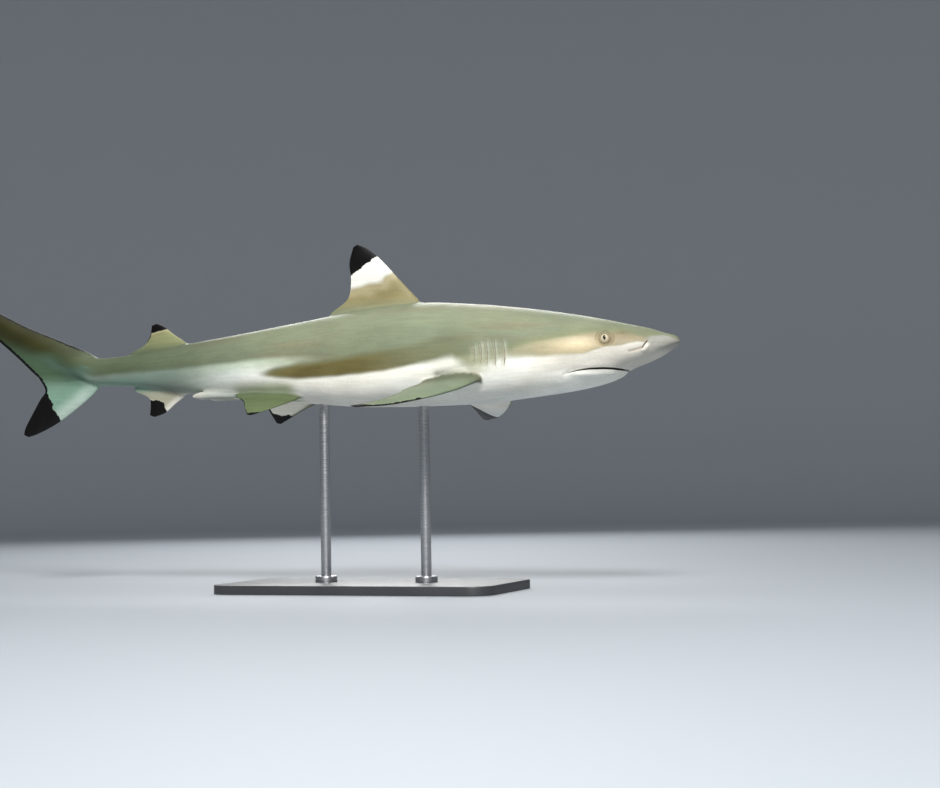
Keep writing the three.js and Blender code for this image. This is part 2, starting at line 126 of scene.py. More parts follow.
PECTORAL = {
    "leading": [[21, 3, -2.7], [21.7, 5.1, -3.35], [22.9, 9.1, -4.6],
                [25.1, 13.6, -5.8], [27.7, 17.5, -6.65], [30.2, 20.1, -6.9]],
    "trailing": [[26.9, 3.6, -2.7], [30.3, 7.2, -4.4], [29.65, 10.2, -4.95],
                 [29.95, 14.3, -5.85], [30.6, 17.8, -6.45], [31.1, 20.2, -6.8]],
    "thickness": [1.5, 1.2, 0.85, 0.55, 0.32, 0.18],
}
PELVIC = {
    "leading": [[44.9, 1.2, -3.4], [45.3, 2.75, -4.38], [47.8, 3.3, -5.32],
                [50.3, 4.05, -6.15], [51.6, 4.35, -6.5]],
    "trailing": [[50.6, 1, -3.2], [54.8, 2.5, -3.9], [53.4, 3, -4.75], [52.9, 3.6, -5.5], [52.2, 4.3, -6.4]],
    "thickness": SMALL_FIN,
}
# How far each pelvic fin's tip is swung from the mirrored shape: station, side, height.
PELVIC_SWING = {1: np.array([0.5, 0, -0.75]), -1: np.zeros(3)}
CLASPER_LINE = [[51.6, 1.35, -3.3], [54, 1.75, -3.65], [57.2, 1.95, -3.7], [59.6, 2, -3.74], [60.9, 2, -3.82]]
CLASPER_RADIUS = [0.5, 0.6, 0.56, 0.52, 0.2]
FIN_EDGE = 0.6 * MM / UNIT
WAVES = 12
FLANK_TILT = math.radians(8)
# Rounds of smoothing at the snout's tip, along the fins' roots and along the cuts, and how far the last two reach.
SNOUT_ROUNDS, FILLET_ROUNDS, LIP_ROUNDS = 30, 26, 4
FILLET_REACH, LIP_REACH = 9 * MM, 1.2 * MM
# How far round the eyes, nostrils and mouth the skin's mesh is made finer.
EYE_REFINE, NOSTRIL_REFINE, MOUTH_REFINE = 19 * MM, 13 * MM, 9 * MM
# How many places stand for the curve of a fin's edge where its markings are measured from it.
EDGE_PLACES = 40
FLESH = [
    "head", "shoulder", "trunk", "hind_trunk", "tail", "lower_jaw", "first_dorsal_fin", "second_dorsal_fin",
    "anal_fin", "caudal_fin_upper", "caudal_fin_lower", "pectoral_fin_left", "pectoral_fin_right",
    "pelvic_fin_left", "pelvic_fin_right", "clasper_left", "clasper_right",
]

EYE = [7.7, 3.15, 0.5]
EYE_RADIUS = 12.35 * MM
EYE_OPENING = 5.9 * MM
SOCKET_GAP = 0.2 * MM
FOLD_REACH = 22 * MM
# The gill slits: station, top, bottom, and how far the lower part stands open.
GILLS = [
    (18.95, 0.65, -2.2, 0.075), (20.0, 0.75, -2.2, 0.05), (20.95, 0.75, -2.05, 0.02), (21.65, 0.6, -1.85, 0),
    (22.45, 0.35, -1.6, 0),
]

# The gap between the jaws: its height and its thickness along the head.
MOUTH_STATIONS = [5, 6, 7, 8, 9.5, 10.6, 11.3, 12]
MOUTH_HEIGHTS = [-2.87, -2.86, -2.78, -2.74, -2.76, -2.88, -3.0, -3.18]
MOUTH_GAPS = [0.14, 0.2, 0.27, 0.27, 0.22, 0.15, 0.1, 0.04]


# --- places and curves
def bend_angle(station):
    reach = np.maximum(0, (station - BEND_START) / (LENGTH - BEND_START))
    return BEND_ANGLE * reach**2


LINE = np.linspace(-10, 110, 4801)
LINE_STEP = LINE[1] - LINE[0]
LINE_ANGLES = bend_angle(LINE[:-1] + LINE_STEP / 2)
LINE_X = ORIGIN_STATION - LINE[0] - np.concatenate([[0], np.cumsum(np.cos(LINE_ANGLES))]) * LINE_STEP
LINE_Y = -np.concatenate([[0], np.cumsum(np.sin(LINE_ANGLES))]) * LINE_STEP


def place(points):
    """World places, in metres, of [station, side, height] rows."""
    station, side, height = np.moveaxis(np.asarray(points, float), -1, 0)
    angle = bend_angle(station)
    x = np.interp(station, LINE, LINE_X) - side * np.sin(angle)
    y = np.interp(station, LINE, LINE_Y) + side * np.cos(angle)
    return np.stack([x * UNIT, y * UNIT, height * UNIT + AXIS_HEIGHT], -1)


def columns(station, side, height):
    return np.stack(np.broadcast_arrays(station, side, height), -1)


def unplace(world):
    """The [station, side, height] rows of world places."""
    x, y = world[:, 0] / UNIT, world[:, 1] / UNIT
    station = ORIGIN_STATION - x
    for _ in range(8):
        angle = bend_angle(station)
        dx = x - np.interp(station, LINE, LINE_X)
        dy = y - np.interp(station, LINE, LINE_Y)
        station = station - dx * np.cos(angle) - dy * np.sin(angle)
    side = dy * np.cos(angle) - dx * np.sin(angle)
    return np.stack([station, side, (world[:, 2] - AXIS_HEIGHT) / UNIT], -1)


def smooth(xs, ys, x):
    """Cubic interpolation that never overshoots its points."""
    xs, ys, x = (np.asarray(v, float) for v in (xs, ys, x))
    slopes = np.diff(ys) / np.diff(xs)
    before, after = slopes[:-1], slopes[1:]
    total = np.where(before + after == 0, 1, before + after)
    inner = np.where(before * after > 0, 2 * before * after / total, 0)
    tangents = np.concatenate([slopes[:1], inner, slopes[-1:]])
    k = np.clip(np.searchsorted(xs, x) - 1, 0, len(xs) - 2)
    width = xs[k + 1] - xs[k]
    t = (x - xs[k]) / width
    return (
        (1 + 2 * t) * (1 - t) ** 2 * ys[k]
        + t**2 * (3 - 2 * t) * ys[k + 1]
        + t * (1 - t) ** 2 * width * tangents[k]
        - t**2 * (1 - t) * width * tangents[k + 1]
    )


def profile(station, column):
    return smooth(np.sqrt(BODY_PROFILE[:, 0]), BODY_PROFILE[:, column], np.sqrt(station))


def section(station):
    """The body's top, bottom, half width and height of the widest line."""
    return [profile(station, column) for column in (1, 2, 3, 4)]


def side_of_body(station, height):
    """The body's half width at a station and height."""
    top, bottom, half_width, middle = section(station)
    above = height > middle
    reach = np.where(above, top - middle, middle - bottom)
    power = np.where(above, UPPER_ROUNDNESS, LOWER_ROUNDNESS)
    share = np.clip(np.abs(height - middle) / np.maximum(reach, 1e-6), 0, 1)
    return half_width * (1 - share**power) ** (1 / power)


def curve_through(points, t):
    """A centripetal Catmull-Rom curve through the points, at each t from 0 to 1."""
    points = np.asarray(points, float)
    ends = [2 * points[0] - points[1]], [2 * points[-1] - points[-2]]
    padded = np.concatenate([ends[0], points, ends[1]])
    last = len(points) - 1
    k = np.clip((np.asarray(t) * last).astype(int), 0, last - 1)
    w = (np.asarray(t) * last - k)[:, None]
    p0, p1, p2, p3 = (padded[k + i] for i in range(4))
    d0, d1, d2 = (np.sqrt(np.linalg.norm(b - a, axis=1))[:, None] for a, b in ((p0, p1), (p1, p2), (p2, p3)))
    m1 = ((p1 - p0) / d0 - (p2 - p0) / (d0 + d1) + (p2 - p1) / d1) * d1
    m2 = ((p2 - p1) / d1 - (p3 - p1) / (d1 + d2) + (p3 - p2) / d2) * d1
    return p1 + m1 * w + (-3 * p1 + 3 * p2 - 2 * m1 - m2) * w**2 + (2 * p1 - 2 * p2 + m1 + m2) * w**3


def signed_power(x, power):
    return np.sign(x) * np.abs(x) ** power


def step(low, high, x):
    """0 below low and 1 above high, with a smooth rise between them."""
    t = np.clip((x - low) / (high - low), 0, 1)
    return t * t * (3 - 2 * t)


def between(start, full, fade, end, x):
    """0 outside start and end, and 1 from full to fade."""
    return step(start, full, x) * (1 - step(fade, end, x))


def bump(centre, width, x):
    return np.exp(-(((x - centre) / width) ** 2))


def waver(c, reach, seed):
    """Smooth random waves over places, about one unit high, with a reach along each axis."""
    random = np.random.default_rng(seed)
    total = np.zeros(len(c))
    for _ in range(WAVES):
        direction = random.normal(size=3) / np.array(reach)
        total += np.sin(c @ direction + random.uniform(0, 2 * np.pi))
    return total / math.sqrt(WAVES)


# --- meshes
def add_object(name, data):
    obj = bpy.data.objects.new(name, data)
    bpy.context.scene.collection.objects.link(obj)
    return obj


def make_object(name, points, faces):
    mesh = bpy.data.meshes.new(name)
    mesh.from_pydata([tuple(p) for p in points], [], [tuple(f) for f in faces])
    mesh.validate()
    return add_object(name, mesh)


@contextmanager
def editing(mesh):
    """Gives a mesh to edit with bmesh, and writes it back."""
    bm = bmesh.new()
    bm.from_mesh(mesh)
    yield bm
    bm.to_mesh(mesh)
    bm.free()


def shape_object(name, create, **settings):
    """An object made by one of bmesh's own shapes."""
    mesh = bpy.data.meshes.new(name)
    with editing(mesh) as bm:
        create(bm, **settings)
    return add_object(name, mesh)


def tidy_normals(obj):
    with editing(obj.data) as bm:
        bmesh.ops.recalc_face_normals(bm, faces=bm.faces)


def shade_smooth(obj):
    for polygon in obj.data.polygons:
        polygon.use_smooth = True


def circuit(count):
    """The places round a ring, and the place after each."""
    across = np.arange(count)
    return across, (across + 1) % count


def band(rows, count, closed=False):
    """Quads from each ring to the next, and from the last to the first where it is closed."""
    across, after = circuit(count)
    faces = []
    for r in range(rows if closed else rows - 1):
        a, b = r * count, (r + 1) % rows * count
        faces.extend(np.stack([a + across, a + after, b + after, b + across], 1).tolist())
    return faces


def loft(name, rings, start, end):
    """A closed mesh through rings of equal count, with a fan to a point over each end."""
    rings = np.asarray(rings)
    rows, count = rings.shape[:2]
    points = np.concatenate([rings.reshape(-1, 3), [start, end]])
    across, after = circuit(count)
    faces = band(rows, count)
    last = (rows - 1) * count
    faces.extend(np.stack([np.full(count, rows * count), after, across], 1).tolist())
    faces.extend(np.stack([np.full(count, rows * count + 1), last + across, last + after], 1).tolist())
    obj = make_object(name, points, faces)
    tidy_normals(obj)
    return obj


def read(items, key, width, kind=float):
    values = np.empty(len(items) * width, kind)
    items.foreach_get(key, values)
    return values.reshape(-1, width)


def points_of(obj):
    return read(obj.data.vertices, "co", 3)


def normals_of(obj):
    return read(obj.data.vertices, "normal", 3, np.float32).astype(float)


def set_points(obj, points):
    obj.data.vertices.foreach_set("co", points.ravel())
    obj.data.update()


def combine(obj, others, operation):
    """A Boolean of the first object with each of the others, which are used up."""
    for other in others:
        modifier = obj.modifiers.new("combine", "BOOLEAN")
        modifier.object = other
        modifier.operation = operation
        modifier.solver = "MANIFOLD"
    graph = bpy.context.evaluated_depsgraph_get()
    mesh = bpy.data.meshes.new_from_object(obj.evaluated_get(graph))
    obj.modifiers.clear()
    obj.data = mesh
    for other in others:
        bpy.data.objects.remove(other)


def refine(obj, centres, radius):
    """Halves the edges near some world places."""
    with editing(obj.data) as bm:
        middles = np.array([((e.verts[0].co + e.verts[1].co) / 2)[:] for e in bm.edges])
        near = np.zeros(len(middles), bool)
        for centre in np.asarray(centres):
            near |= np.linalg.norm(middles - centre, axis=1) < radius
        bm.edges.ensure_lookup_table()
        chosen = [bm.edges[i] for i in np.flatnonzero(near)]
        bmesh.ops.subdivide_edges(bm, edges=chosen, cuts=1, use_grid_fill=True)
        bmesh.ops.triangulate(bm, faces=[f for f in bm.faces if len(f.verts) > 4])


def relax(obj, weight, rounds):
    """Moves each vertex towards the middle of its neighbours, by its weight, in each round."""
    points, edges = points_of(obj), read(obj.data.edges, "vertices", 2, np.int32)
    total = len(points)
    a, b = edges.T
    count = np.maximum(np.bincount(edges.ravel(), minlength=total), 1)
    for _ in range(rounds):
        mean = np.stack([
            np.bincount(a, points[b, c], total) + np.bincount(b, points[a, c], total) for c in range(3)
        ], 1) / count[:, None]
        points = points + weight[:, None] * (mean - points)
    set_points(obj, points)


def tree_of(objs):
    """A search tree over all the objects' faces, and the number of the object that owns each face."""
    points, faces, owner = [], [], []
    for i, obj in enumerate(objs):
        offset = len(points)
        points.extend(v.co.copy() for v in obj.data.vertices)
        for polygon in obj.data.polygons:
            faces.append([offset + v for v in polygon.vertices])
            owner.append(i)
    return BVHTree.FromPolygons(points, faces), np.array(owner)


def nearest(tree, points, reach):
    """Signed distance to the tree, no more than reach, and the face that is nearest or -1."""
    distance, face = np.full(len(points), reach), np.full(len(points), -1)
    for i, p in enumerate(points):
        place_hit, normal, index, length = tree.find_nearest(p, reach)
        if place_hit is not None:
            distance[i] = math.copysign(length, (Vector(p) - place_hit).dot(normal))
            face[i] = index
    return distance, face


# --- body
def body_angles():
    """Angles round the body, closer together a little above the middle of each flank than elsewhere."""
    dense = np.linspace(0, 2 * np.pi, 3601)
    flank = np.abs(np.cos(dense - FLANK_TILT * np.sign(np.cos(dense))))
    density = 1 + 1.2 * step(0.64, 0.8, flank)
    total = np.concatenate([[0], np.cumsum((density[1:] + density[:-1]) / 2)])
    return np.interp(np.arange(SIDES) / SIDES * total[-1], total, dense)


def body_stations():
    snout = np.linspace(0.06, math.sqrt(1.5), 26) ** 2
    head = np.arange(1.6, 24, 0.11)
    gap = 0.105
    rear = [24.0]
    while rear[-1] + gap < 96.2:
        rear.append(rear[-1] + gap)
        gap = min(gap * 1.06, 0.46)
    return np.concatenate([snout, head, rear])


def body_grid():
    stations, angles = body_stations(), body_angles()
    s = stations[:, None]
    top, bottom, half_width, middle = section(s)
    power = np.where(np.sin(angles) > 0, 2 / UPPER_ROUNDNESS, 2 / LOWER_ROUNDNESS)[None]
    across, up = signed_power(np.cos(angles), power), signed_power(np.sin(angles), power)
    reach = np.where(up > 0, top - middle, middle - bottom)
    side, height = half_width * across, middle + reach * up
    return loft("skin", place(columns(s, side, height)), place(SNOUT_TIP), place(TAIL_END))


# --- fins
def section_share(u):
    """The half thickness of a blade, as a share of the whole, from its leading edge at 0 to 1."""
    return 5 * (0.2969 * np.sqrt(u) - 0.126 * u - 0.3516 * u**2 + 0.2843 * u**3 - 0.1015 * u**4)


def fin(name, shape, normal, rows=64, chord_steps=26, swing=np.zeros(3)):
    """A blade between its edges. The section thickens where it nears the body, as a fillet."""
    t = np.linspace(0, 1, rows) ** 0.92
    shift = t[:, None] ** 2 * swing
    front, rear = (curve_through(shape[edge], t) + shift for edge in ("leading", "trailing"))
    count = len(shape["thickness"])
    thickness = smooth(np.arange(count), shape["thickness"], t * (count - 1))
    u = (1 - np.cos(np.linspace(0, np.pi, chord_steps + 1))) / 2
    middle = front[:, None] + (rear - front)[:, None] * u[None, :, None]
    edge = FIN_EDGE / 2 * np.minimum(1, 4 * np.sqrt(u))
    half = np.maximum(thickness[:, None] * section_share(u)[None], edge[None])
    half += root_flare(middle, u)
    half[:, 0] = 0
    upper = middle + half[..., None] * normal
    lower = (middle - half[..., None] * normal)[:, 1:][:, ::-1]
    rings = place(np.concatenate([upper, lower], 1))
    ends = [(front[i] + rear[i]) / 2 for i in (0, -1)]
    tip = ends[1] + (ends[1] - (front[-2] + rear[-2]) / 2) * 0.35
    return loft(name, rings, place(ends[0]), place(tip))


def root_flare(middle, u):
    """Extra half thickness of a fin near the body's surface."""
    station, side, height = np.moveaxis(middle, -1, 0)
    top, bottom, half_width, centre = section(np.minimum(station, 95))
    reach = np.where(height > centre, top - centre, centre - bottom)
    depth = np.hypot(side / half_width, (height - centre) / reach)
    clear = (depth - 1) * np.minimum(half_width, reach)
    return 0.3 * np.clip(1 - clear / 1.2, 0, 1.3) ** 2 * np.sqrt(np.clip(section_share(u) * 2, 0, 1))[None]


ACROSS = np.array([0.0, 1.0, 0.0])


def mirrored(shape, sign):
    edges = {edge: np.array(shape[edge]) * [1, sign, 1] for edge in ("leading", "trailing")}
    return {**shape, **edges}


def blade_normal(shape):
    root = np.array(shape["leading"][1])
    normal = np.cross(np.array(shape["leading"][-1]) - root, np.array(shape["trailing"][1]) - root)
    return normal / np.linalg.norm(normal)


def paired_fin(name, shape, sign, swing=np.zeros(3)):
    sided = mirrored(shape, sign)
    return fin(name, sided, blade_normal(sided), swing=swing)


def clasper(name, sign):
    t = np.linspace(0, 1, 48)
    centre = curve_through(np.array(CLASPER_LINE) * [1, sign, 1], t)
    radius = smooth(np.arange(5), CLASPER_RADIUS, t * 4) * np.sqrt(1 - step(0.93, 1.12, t))
    angle = np.linspace(0, 2 * np.pi, 28, endpoint=False)
    groove_angle = math.radians(250 if sign < 0 else 290)
    fold = 1 - 0.16 * bump(0, 0.35, angle - groove_angle)[None] * step(0.3, 0.6, t)[:, None]
    around = radius[:, None] * fold
    station, side, height = centre.T[..., None]
    rings = columns(station, side + around * np.cos(angle), height + around * np.sin(angle))
    return loft(name, place(rings), place(centre[0]), place(centre[-1] + [0.12, 0, 0]))


def all_fins():
    fins = [
        fin("first_dorsal", FIRST_DORSAL, ACROSS, rows=84, chord_steps=40),
        fin("second_dorsal", SECOND_DORSAL, ACROSS, rows=48, chord_steps=28),
        fin("anal", ANAL, ACROSS, rows=48, chord_steps=28),
        fin("caudal_upper", CAUDAL_UPPER, ACROSS, rows=130, chord_steps=36),
        fin("caudal_lower", CAUDAL_LOWER, ACROSS, rows=64, chord_steps=36),
    ]
    for sign in SIGNS:
        fins.append(paired_fin("pectoral", PECTORAL, sign))
        fins.append(paired_fin("pelvic", PELVIC, sign, PELVIC_SWING[sign]))
        fins.append(clasper("clasper", sign))
    return fins


# --- head details
def eye_axis(sign):
    axis = np.array([0.17, sign, 0.13])
    return axis / np.linalg.norm(axis)


def eye_centre(sign):
    return place([EYE[0], sign * EYE[1], EYE[2]])


def eye_rings(r):
    """Height of the folds round the eye, in millimetres, by distance from its axis in millimetres."""
    rim = 0.6 * bump(7.1, 0.8, r)
    furrow = -0.55 * bump(8.6, 0.6, r)
    fold = 0.4 * bump(10.0, 0.9, r)
    outer = -0.3 * bump(12.0, 0.8, r)
    return rim + furrow + fold + outer


def shape_eyes(points):
    """Draws the skin over the eyeballs, with the folds round them."""
    for sign in SIGNS:
        offset = points - eye_centre(sign)
        axis = eye_axis(sign)
        along = offset @ axis
        r = np.linalg.norm(offset - along[:, None] * axis, axis=1)
        near = (r < FOLD_REACH) & (along > 0)
        ball = np.sqrt(np.clip(EYE_RADIUS**2 - r**2, (0.35 * EYE_RADIUS) ** 2, None))
        hug = (ball + 0.6 * MM - along) * (1 - step(9 * MM, 15 * MM, r))
        lift = hug + eye_rings(r / MM) * MM
        points[near] += lift[near, None] * axis
    return points


def segments(p, line):
    """For each segment of a line in a plane, its distance from the places and which side of it they are on."""
    line = np.asarray(line, float)
    for a, b in zip(line[:-1], line[1:]):
        t = np.clip((p - a) @ (b - a) / ((b - a) @ (b - a)), 0, 1)
        cross = (b - a)[0] * (p - a)[:, 1] - (b - a)[1] * (p - a)[:, 0]
        yield np.linalg.norm(p - (a + t[:, None] * (b - a)), axis=1), np.sign(cross)


def groove(p, line, width):
    """0 away from a line of (station, height) places, and 1 on it."""
    return bump(0, width, np.min([apart for apart, _ in segments(p, line)], axis=0))


NOSTRIL_LINE = [(2.95, 0.15), (3.22, -0.22), (3.55, -0.68)]
NOSTRIL_GROOVE = [(3.5, -0.62), (4.0, -0.8), (4.9, -0.98)]
NOSTRIL_FLAP = [(2.95, -0.3), (3.35, -0.82)]
AXIL_LINE = [(23.5, -2.1), (25.0, -2.3), (26.4, -2.8)]
# Folds in the skin of the head: height in millimetres, width and line. Below zero is a groove.
FOLDS = [
    (-1.2, 0.15, NOSTRIL_GROOVE),
    (1.3, 0.24, [(3.0, -0.62), (3.4, -0.88)]),
    (0.6, 0.28, [(2.55, 0.1), (3.1, -0.75)]),
    (-0.5, 0.22, [(11.8, -3.12), (12.4, -3.4), (12.9, -3.85)]),
    (-0.45, 0.16, [(11.0, -2.82), (11.7, -3.0), (12.25, -3.3)]),
]


def relief(coordinates):
    """Height of the skin's folds, in millimetres, at places on the body."""
    station, side, height = coordinates.T
    p = coordinates[:, FROM_SIDE]
    lift = np.zeros(len(p))
    for depth, width, line in FOLDS:
        lift += depth * groove(p, line, width) * step(1.2, 2.2, np.abs(side))
    lift += 1.3 * bump(-3.3, 0.3, height) * between(5.6, 7, 10.5, 12, station)
    lift += 0.5 * bump(-2.4, 0.3, height) * between(6, 8, 10, 11.5, station)
    lift -= 1.2 * groove(p, AXIL_LINE, 0.3) * step(3, 4.5, np.abs(side))
    lift += 1.0 * bump(9.0, 2.5, station) * bump(1.9, 0.6, height) * step(1.5, 3, np.abs(side))
    for gill in GILLS:
        _, top, bottom, _ = gill
        x = station - gill_line(gill, height)
        inside = between(bottom - 0.35, bottom + 0.5, top - 0.5, top + 0.35, height)
        flap = between(-0.7, -0.08, -0.05, 0.05, x)
        hollow = -0.9 * between(-0.05, 0.07, 0.08, 0.45, x)
        lift += (flap + hollow) * inside * step(3, 4, np.abs(side))
    lift -= 0.3 * bump(lateral_height(station), 0.1, height) * between(23, 26, 70, 78, station)
    return lift


def gill_line(gill, height):
    """The station of a gill slit at a height: each is bowed a little towards the snout."""
    station, top, bottom, _ = gill
    share = (height - bottom) / (top - bottom)
    return station - 0.22 * np.sin(np.pi * np.clip(share, 0, 1)) + 0.12


def lateral_height(station):
    return np.interp(station, [23, 40, 60, 76], [2.4, 2.2, 1.3, 0.3])


def shape_body(obj):
    points, normals = points_of(obj), normals_of(obj)
    coordinates = unplace(points)
    points += (relief(coordinates) * MM)[:, None] * normals
    set_points(obj, shape_eyes(points))


def mouth_cut():
    """The gap between the jaws, thickest in front and closing at the corners."""
    stations = np.linspace(5.0, 11.95, 60)
    middle = np.interp(stations, MOUTH_STATIONS, MOUTH_HEIGHTS)
    half = np.interp(stations, MOUTH_STATIONS, MOUTH_GAPS) / 2
    reach = side_of_body(stations, middle) + 0.5
    angle = np.linspace(0, 2 * np.pi, 64, endpoint=False)
    across, up = signed_power(np.cos(angle), 0.5), signed_power(np.sin(angle), 0.5)
    rings = columns(stations[:, None], reach[:, None] * across, middle[:, None] + half[:, None] * up)
    return loft("mouth_cut", place(rings), place([4.95, 0, middle[0]]), place([12.0, 0, middle[-1]]))


def slit_cut(name, rings, sign):
    """A blade through rings of places on the left side, or their mirror image on the right."""
    rings = np.array(rings) * [1, sign, 1]
    return loft(name, place(rings), place(rings[0].mean(0)), place(rings[-1].mean(0)))


def gill_cut(gill, sign):
    """A thin blade that leans forward into the body."""
    _, top, bottom, opening = gill
    share = np.linspace(0, 1, 30)
    heights = np.linspace(bottom, top, 30)
    width = 0.012 * np.sqrt(np.clip(np.sin(np.pi * share), 0.02, 1)) + 0.005
    width += opening * bump(0.22, 0.13, share)
    stations = gill_line(gill, heights)
    rings = [
        [[s - w, y + 0.5, z], [s + w, y + 0.5, z], [s + w - 0.2, y - 0.32, z], [s - w - 0.2, y - 0.32, z]]
        for s, z, w, y in zip(stations, heights, width, side_of_body(stations, heights))
    ]
    return slit_cut("gill_cut", rings, sign)


def nostril_cut(sign):
    t = np.linspace(0, 1, 24)
    stations, heights = (smooth([0, 0.45, 1], column, t) for column in np.array(NOSTRIL_LINE).T)
    width = 0.06 * np.sqrt(np.clip(np.sin(np.pi * t), 0.03, 1))
    rings = [
        [[s - w, y + 0.4, z + w * 0.5], [s + w, y + 0.4, z + w],
         [s + w * 0.6, y - 0.42, z + w], [s - w * 0.6, y - 0.42, z - w * 0.3]]
        for s, z, w, y in zip(stations, heights, width, side_of_body(stations, heights))
    ]
    return slit_cut("nostril_cut", rings, sign)


def eye_turn(sign):
    """From a ball at the origin, with +Z its front, to the eye's place."""
    turn = Vector(eye_axis(sign)).to_track_quat("Z", "Y").to_matrix()
    return Matrix.Translation(eye_centre(sign)) @ turn.to_4x4()


def eye_cut(sign):
    """The round opening and the socket behind it."""
    ball, cone = bmesh.ops.create_uvsphere, bmesh.ops.create_cone
    socket = shape_object("socket", ball, u_segments=72, v_segments=36, radius=EYE_RADIUS + SOCKET_GAP)
    opening = shape_object("opening", cone, segments=72, cap_ends=True, depth=10 * MM,
                           radius1=EYE_OPENING, radius2=EYE_OPENING * 1.06)
    socket.data.transform(eye_turn(sign))
    opening.data.transform(eye_turn(sign) @ Matrix.Translation((0, 0, EYE_RADIUS)))
    return [socket, opening]


# --- skin
def mouth_places():
    stations = np.linspace(6, 12, 14)
    places = [[s, sign * side_of_body(s, -2.95), -2.95] for s in stations for sign in SIGNS]
    return place(places)


def build_skin():
    """Body and fins in one mesh, with its folds and openings, and search trees over the body and the fins."""
    skin = body_grid()
    fins = all_fins()
    eyes = [eye_centre(sign) + eye_axis(sign) * EYE_RADIUS for sign in SIGNS]
    refine(skin, eyes, EYE_REFINE)
    refine(skin, place([[3.4, sign * 3.0, -0.4] for sign in SIGNS]), NOSTRIL_REFINE)
    refine(skin, mouth_places(), MOUTH_REFINE)
    relax(skin, 0.5 * step(-1.5, -0.2, -unplace(points_of(skin))[:, 0]), SNOUT_ROUNDS)
    shape_body(skin)
    body_tree, _ = tree_of([skin])
    fin_tree, owner = tree_of(fins)
    combine(skin, fins, "UNION")
    points = points_of(skin)
    apart = np.max([abs(nearest(tree, points, FILLET_REACH)[0]) for tree in (body_tree, fin_tree)], axis=0)
    relax(skin, 0.6 * step(0, 1, 1 - apart / FILLET_REACH), FILLET_ROUNDS)
    cuts = [mouth_cut()]
    for sign in SIGNS:
        cuts += eye_cut(sign) + [nostril_cut(sign)]
        cuts += [gill_cut(gill, sign) for gill in GILLS]
    cut_tree, _ = tree_of(cuts)
    combine(skin, cuts, "DIFFERENCE")
    points = points_of(skin)
    eye_distance = np.min([np.linalg.norm(points - eye_centre(sign), axis=1) for sign in SIGNS], axis=0)
    lip = 1 - step(0, LIP_REACH, abs(nearest(cut_tree, points, 2 * MM)[0]))
    lip *= 1 - 0.8 * (eye_distance < EYE_RADIUS + 4 * MM)
    relax(skin, 0.5 * lip, LIP_ROUNDS)
    return skin, body_tree, fin_tree, owner


# --- markings
def rgb(*values):
    return np.array(values)


BACK = rgb(0.187, 0.210, 0.134)
BROWN_BACK = rgb(0.195, 0.178, 0.111)
# The back towards the tail, darkened as painted shade.
REAR_BACK = rgb(0.084, 0.104, 0.059)
BRONZE = rgb(0.122, 0.102, 0.034)
BELLY = rgb(0.865, 0.855, 0.783)
# The head's white, darker than the belly's as painted shade.
SHADED_HEAD_WHITE = rgb(0.545, 0.528, 0.479)
PALE_BAND = rgb(0.525, 0.583, 0.447)
CREAM = rgb(0.580, 0.495, 0.327)
TAN = rgb(0.271, 0.230, 0.145)
LOW_TAN = rgb(0.357, 0.320, 0.204)
HEAD_OLIVE = rgb(0.180, 0.196, 0.098)
SNOUT = rgb(0.277, 0.277, 0.254)
FIN_TAN = rgb(0.236, 0.204, 0.098)
FIN_OLIVE = rgb(0.245, 0.25, 0.122)
FIN_CREAM = rgb(0.342, 0.334, 0.251)
FIN_WHITE = rgb(0.727, 0.718, 0.666)
# The rear of the pale band and the peduncle's lower side, darkened as painted shade.
REAR_PALE = rgb(0.174, 0.218, 0.174)
SHADED_PEDUNCLE = rgb(0.185, 0.297, 0.226)
# The tail's colours, darkened partly as painted shade.
TAIL_GREEN = rgb(0.055, 0.097, 0.055)
TAIL_PALE = rgb(0.110, 0.175, 0.142)
TAIL_OLIVE = rgb(0.029, 0.029, 0.007)
TAIL_DARK = rgb(0.014, 0.016, 0.004)
LOBE_GREEN = rgb(0.164, 0.274, 0.213)
LOBE_PALE = rgb(0.348, 0.437, 0.378)
CLASPER_PALE = rgb(0.386, 0.403, 0.353)
CLASPER_TIP = rgb(0.567, 0.538, 0.473)
GREEN_GREY = rgb(0.168, 0.207, 0.135)
ROOT_GREEN = rgb(0.098, 0.111, 0.069)
PELVIC_OLIVE = rgb(0.105, 0.137, 0.062)
PELVIC_SHADE = rgb(0.33, 0.34, 0.24)
KHAKI = rgb(0.40, 0.39, 0.25)
SPOT_BROWN = rgb(0.285, 0.162, 0.076)
EYE_SMUDGE = rgb(0.15, 0.125, 0.07)
NOSTRIL_SHADE = rgb(0.36, 0.30, 0.24)
# Near black inside the mouth, its own colour, and also painted shadow in the nostrils and the eyes' sockets.
MOUTH_INSIDE_AND_SHADOW = rgb(0.03, 0.016, 0.014)
GILL_INSIDE = rgb(0.285, 0.237, 0.162)
GILL_FLAP_HIGHLIGHT = rgb(0.552, 0.543, 0.442)
GILL_SHADE = rgb(0.306, 0.281, 0.196)
BLACK = (0.0025, 0.002, 0.002, 1)
# How far inside a black marking a place is, where none is near.
NO_INK = -1.0

